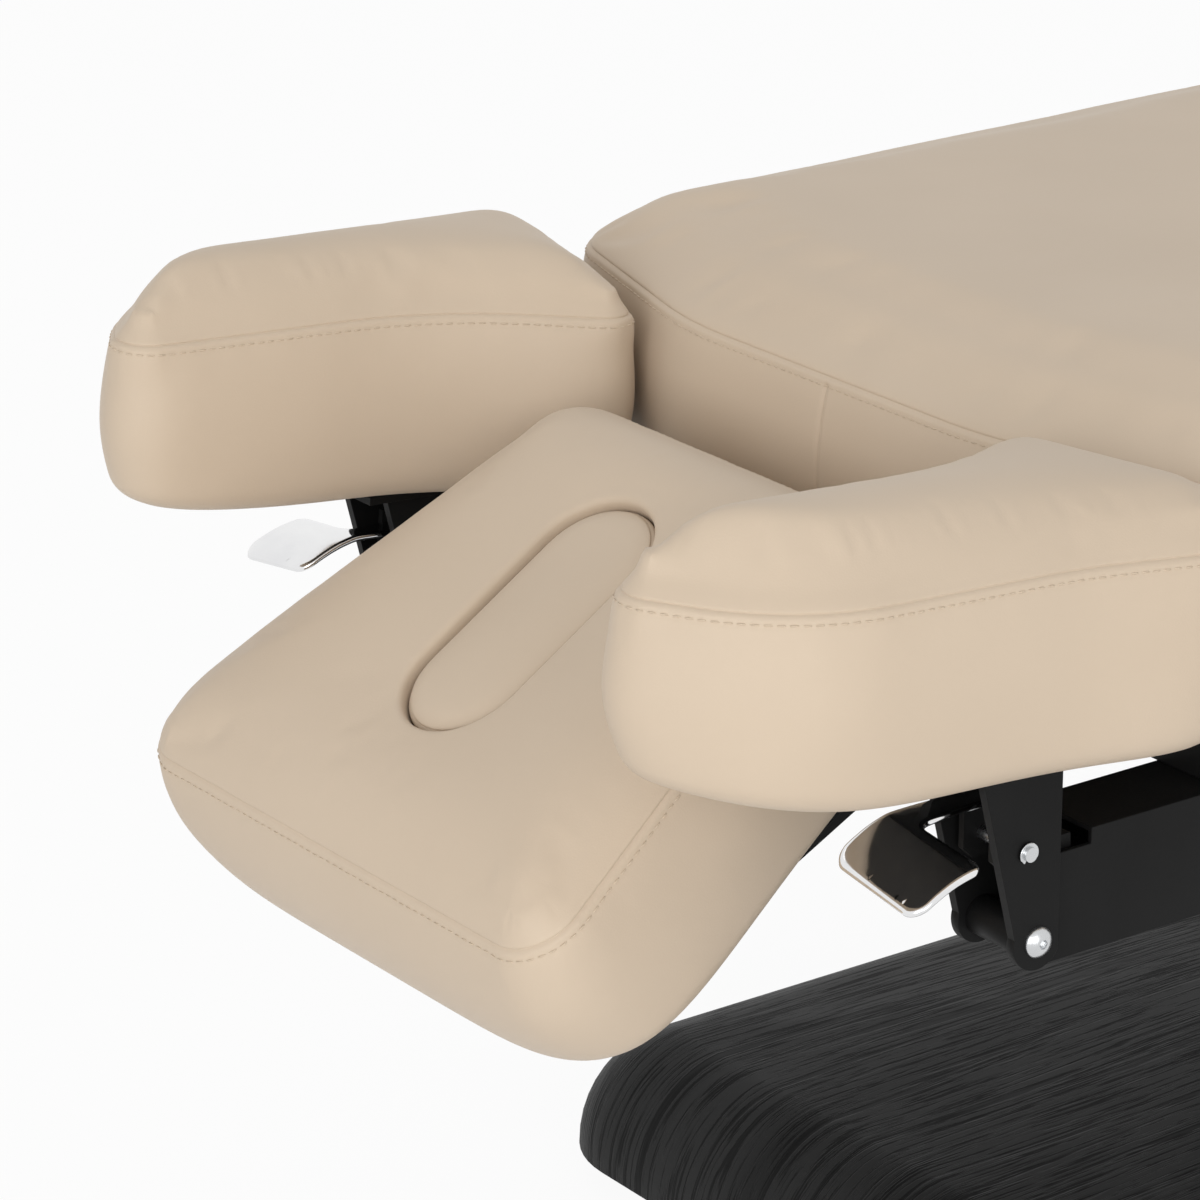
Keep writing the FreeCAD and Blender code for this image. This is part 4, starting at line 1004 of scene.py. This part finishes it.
def hexagonal(x, radius, count=40):
    ring = []
    for k in range(count):
        a = 2 * math.pi * k / count
        r = radius / math.cos((a % (math.pi / 3)) - math.pi / 6)
        ring.append((x, r * math.cos(a), r * math.sin(a)))
    return ring


# Pivot screw with a domed head, a hex socket and a nut behind the inner plate, and a spring clip on the pin
def hardware(side, word):
    face, inner = BRACKET_X, BRACKET_X - SCREW_REACH
    dome = [(-0.2, 4.7), (0.0, 8.7), (0.9, 8.75), (1.9, 8.3), (3.1, 7.2), (4.1, 5.7), (4.8, 4.1), (5.0, 3.4)]
    head = turned([(face + x, r) for x, r in dome])
    head += [hexagonal(face + 5.0, 2.45), hexagonal(face + 2.2, 2.45)]
    nut = [hexagonal(inner, 7.3), hexagonal(inner + 7.8, 7.3)]
    shank = turned([(inner - 2.0, 4.0), (inner - 1.2, 4.7), (face, 4.7)])

    def placed(points, at):
        return [Vector((side * x, y + at[0], z + at[1])) * MM for x, y, z in points]

    body = "armrest_" + word
    verts, faces = joined([lofted(rings) for rings in (head, nut, shank)])
    piece("pivot_screw_" + word, placed(verts, PIVOT), faces, zinc, body,
          "armrest_pivot_bolt_" + word, crease=40)
    rings = []
    for k in range(29):
        a = math.radians(-55 + 290 * k / 28)
        thick = 1.9 if 2 < k < 26 else 1.5
        section = ((0.9, 0.0), (0.9, thick), (1.1, thick + 0.2), (1.7, thick + 0.2), (1.9, thick), (1.9, 0.0))
        rings.append([(face + x, (PIN_R + r) * math.cos(a), (PIN_R + r) * math.sin(a)) for x, r in section])
    verts, faces = lofted(rings)
    piece("pin_clip_" + word, placed(verts, PIN), faces, zinc, body, crease=40)


# Corners of a box about a middle, all with one radius
def box_corners(middle, half, radius):
    (u, v), (w, h) = middle, half
    return [(u - w, v - h, radius), (u + w, v - h, radius), (u + w, v + h, radius), (u - w, v + h, radius)]


# Plug in the open end of a tube that runs along X or Y
def end_plug(name, middle, width, tall, along, sign, body):
    rings = []
    for out, inset in ((-6.0, 1.4), (0.0, 1.4), (0.0, 0.0), (1.6, 0.0), (2.4, 0.7), (2.7, 2.0)):
        loop = loop_of(box_corners((0, 0), (width / 2 - inset, tall / 2 - inset), 3.5), 2.0)
        count = len(rings[0]) if rings else len(loop)
        loop = loop[np.linspace(0, len(loop), count, endpoint=False).astype(int)]
        ahead = sign * out
        steps = [(u, ahead, v) if along == "Y" else (ahead, u, v) for u, v in loop]
        rings.append([Vector([m + s for m, s in zip(middle, step)]) * MM for step in steps])
    verts, faces = lofted(rings)
    piece(name, verts, faces, plastic, body, crease=35)


# Hex bolt with a washer, its head pointing down
def hung_bolt(name, x, y, z, body):
    washer = turned([(0.0, 4.0), (0.0, 9.0), (1.6, 9.0), (1.6, 6.5)])
    head = [hexagonal(1.6, 6.5), hexagonal(6.6, 6.5), hexagonal(7.2, 5.6)]
    verts, faces = joined([lofted(washer), lofted(head)])
    verts = [Vector((x + v[1], y + v[2], z - v[0])) * MM for v in verts]
    piece(name, verts, faces, zinc, body, crease=35)


# Rippled weld bead round the end of a square tube that meets a wall across X
def weld(name, x, y, z, half, body):
    loop = loop_of(box_corners((y, z), (half, half), 3), 1.5)
    n, ring = len(loop), 8
    verts, faces = [], []
    for i, (point, away) in enumerate(zip(loop, outward(loop))):
        size = 2.4 + 0.25 * math.sin(2 * math.pi * i / 2.5)
        for k in range(ring):
            a = 2 * math.pi * k / ring
            at = point + away * size * math.cos(a)
            verts.append(Vector((x + size * math.sin(a), *at)) * MM)
        faces += strip(i * ring, (i + 1) % n * ring, ring)
    piece(name, verts, faces, powder, body)


def box_in_mm(node):
    return [np.array(corner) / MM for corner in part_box(node)]


# Plugs in the frame's open tubes, bolts under the column flanges and welds on the main frame
def frame_details():
    for node, ends in (("main_rails", (-1, 1)), ("leg_rails", (1,))):
        low, high = box_in_mm(node)
        for side, word in SIDES:
            for end in ends:
                place = (side * (high[0] - RAIL_W / 2), (high if end > 0 else low)[1], (low[2] + high[2]) / 2)
                name = "%s_plug_%s_%s" % (node, word, "foot" if end > 0 else "head")
                end_plug(name, place, RAIL_W, high[2] - low[2], "Y", end, BODY_OF[node])
    low, high = box_in_mm("seat_cross_tubes")
    for side, word in SIDES:
        for k, y in enumerate((low[1] + TUBE_W / 2, high[1] - TUBE_W / 2)):
            place = (side * high[0], y, (low[2] + high[2]) / 2)
            name = "seat_tube_plug_%s_%d" % (word, k)
            end_plug(name, place, TUBE_W, high[2] - low[2], "X", side, BODY_OF["seat_cross_tubes"])
    low = box_in_mm("column_flanges")[0]
    for side, word in SIDES:
        for k, y in enumerate(FLANGE_BOLTS_Y):
            name = "flange_bolt_%s_%d" % (word, k)
            hung_bolt(name, side * FLANGE_BOLT_X, y, low[2], BODY_OF["column_flanges"])
        for k, y in enumerate(WELDS_Y):
            name = "frame_weld_%s_%d" % (word, k)
            weld(name, side * WELD_X, y, WELD_Z, TUBE_W / 2, BODY_OF["main_cross_tubes"])


oak_cover()
paddle(-1, "left", front=-91.6, width=64.0, top=71.0, raised=5.0)
paddle(1, "right", front=-106.0, width=72.0, top=75.0, raised=0.0)
for side, word in SIDES:
    hardware(side, word)
frame_details()


# Share of rays that see the plain white backdrop: the camera's own, and those by way of metal or glass
def backdrop_rays(tree):
    path = add(tree, "ShaderNodeLightPath")
    seen = path.outputs["Is Camera Ray"]
    for kind in ("Is Glossy Ray", "Is Transmission Ray"):
        either = add(tree, "ShaderNodeMath", operation="MAXIMUM")
        tree.links.new(seen, either.inputs[0])
        tree.links.new(path.outputs[kind], either.inputs[1])
        seen = either.outputs["Value"]
    return seen


def mixed(tree, share, first, second, output):
    mixer = add(tree, "ShaderNodeMixShader")
    tree.links.new(share, mixer.inputs["Fac"])
    tree.links.new(first, mixer.inputs[1])
    tree.links.new(second, mixer.inputs[2])
    tree.links.new(mixer.outputs["Shader"], tree.nodes[output].inputs["Surface"])


# Floor, light and camera
FLOOR_HALF = 12
FLOOR_GLOW = 0.93


def studio_floor():
    mesh = bpy.data.meshes.new("floor")
    corners = [(FLOOR_HALF * x, FLOOR_HALF * y, 0) for x, y in ((-1, -1), (1, -1), (1, 1), (-1, 1))]
    mesh.from_pydata(corners, [], [(0, 1, 2, 3)])
    obj = bpy.data.objects.new("floor", mesh)
    bpy.context.scene.collection.objects.link(obj)
    mat, tree, shader = new_material("pale_floor", (0.86, 0.86, 0.86), 0.8)
    glow = add(tree, "ShaderNodeEmission", Strength=1.0, Color=WHITE)
    share = add(tree, "ShaderNodeMath", operation="MULTIPLY")
    share.inputs[1].default_value = FLOOR_GLOW
    tree.links.new(backdrop_rays(tree), share.inputs[0])
    mixed(tree, share.outputs["Value"], shader.outputs["BSDF"], glow.outputs["Emission"], "Material Output")
    mesh.materials.append(mat)


# Soft sky that is brighter near the floor, behind a white backdrop
def studio_world():
    sky = bpy.data.worlds.new("studio")
    bpy.context.scene.world = sky
    sky.use_nodes = True
    tree = sky.node_tree
    plain = tree.nodes["Background"]
    plain.inputs["Color"].default_value = WHITE
    aim = add(tree, "ShaderNodeTexCoord")
    parts = add(tree, "ShaderNodeSeparateXYZ")
    tree.links.new(aim.outputs["Generated"], parts.inputs["Vector"])
    tree.links.new(span(tree, parts.outputs["Z"], 0.86, 0.42), plain.inputs["Strength"])
    white = add(tree, "ShaderNodeBackground", Strength=1.0, Color=WHITE)
    mixed(tree, backdrop_rays(tree), plain.outputs["Background"], white.outputs["Background"], "World Output")


def softbox(name, place, target, size, power):
    light = bpy.data.lights.new(name, "AREA")
    light.shape = "RECTANGLE"
    light.size, light.size_y = size
    light.energy = power
    obj = bpy.data.objects.new(name, light)
    obj.location = place
    obj.rotation_euler = (Vector(target) - Vector(place)).to_track_quat("-Z", "Y").to_euler()
    bpy.context.scene.collection.objects.link(obj)


def studio_camera():
    camera = bpy.data.cameras.new("camera")
    camera.lens = 150
    camera.sensor_width = 36
    view = bpy.data.objects.new("camera", camera)
    view.location = (2.0863, -2.4296, 1.4431)
    view.rotation_euler = (math.radians(70), 0, math.radians(54))
    bpy.context.scene.collection.objects.link(view)
    bpy.context.scene.camera = view


studio_floor()
studio_world()
softbox("key", (3.3, -6.0, 2.1), (0.1, -0.7, 0.5), (3.6, 3.2), 138)
softbox("fill", (6.4, -2.4, 1.9), (0.0, -0.6, 0.5), (4.0, 3.4), 116)
softbox("top", (-0.6, -0.2, 3.2), (0.0, -0.2, 0.5), (3.0, 3.0), 14)
studio_camera()
bpy.context.scene.view_settings.view_transform = "Standard"
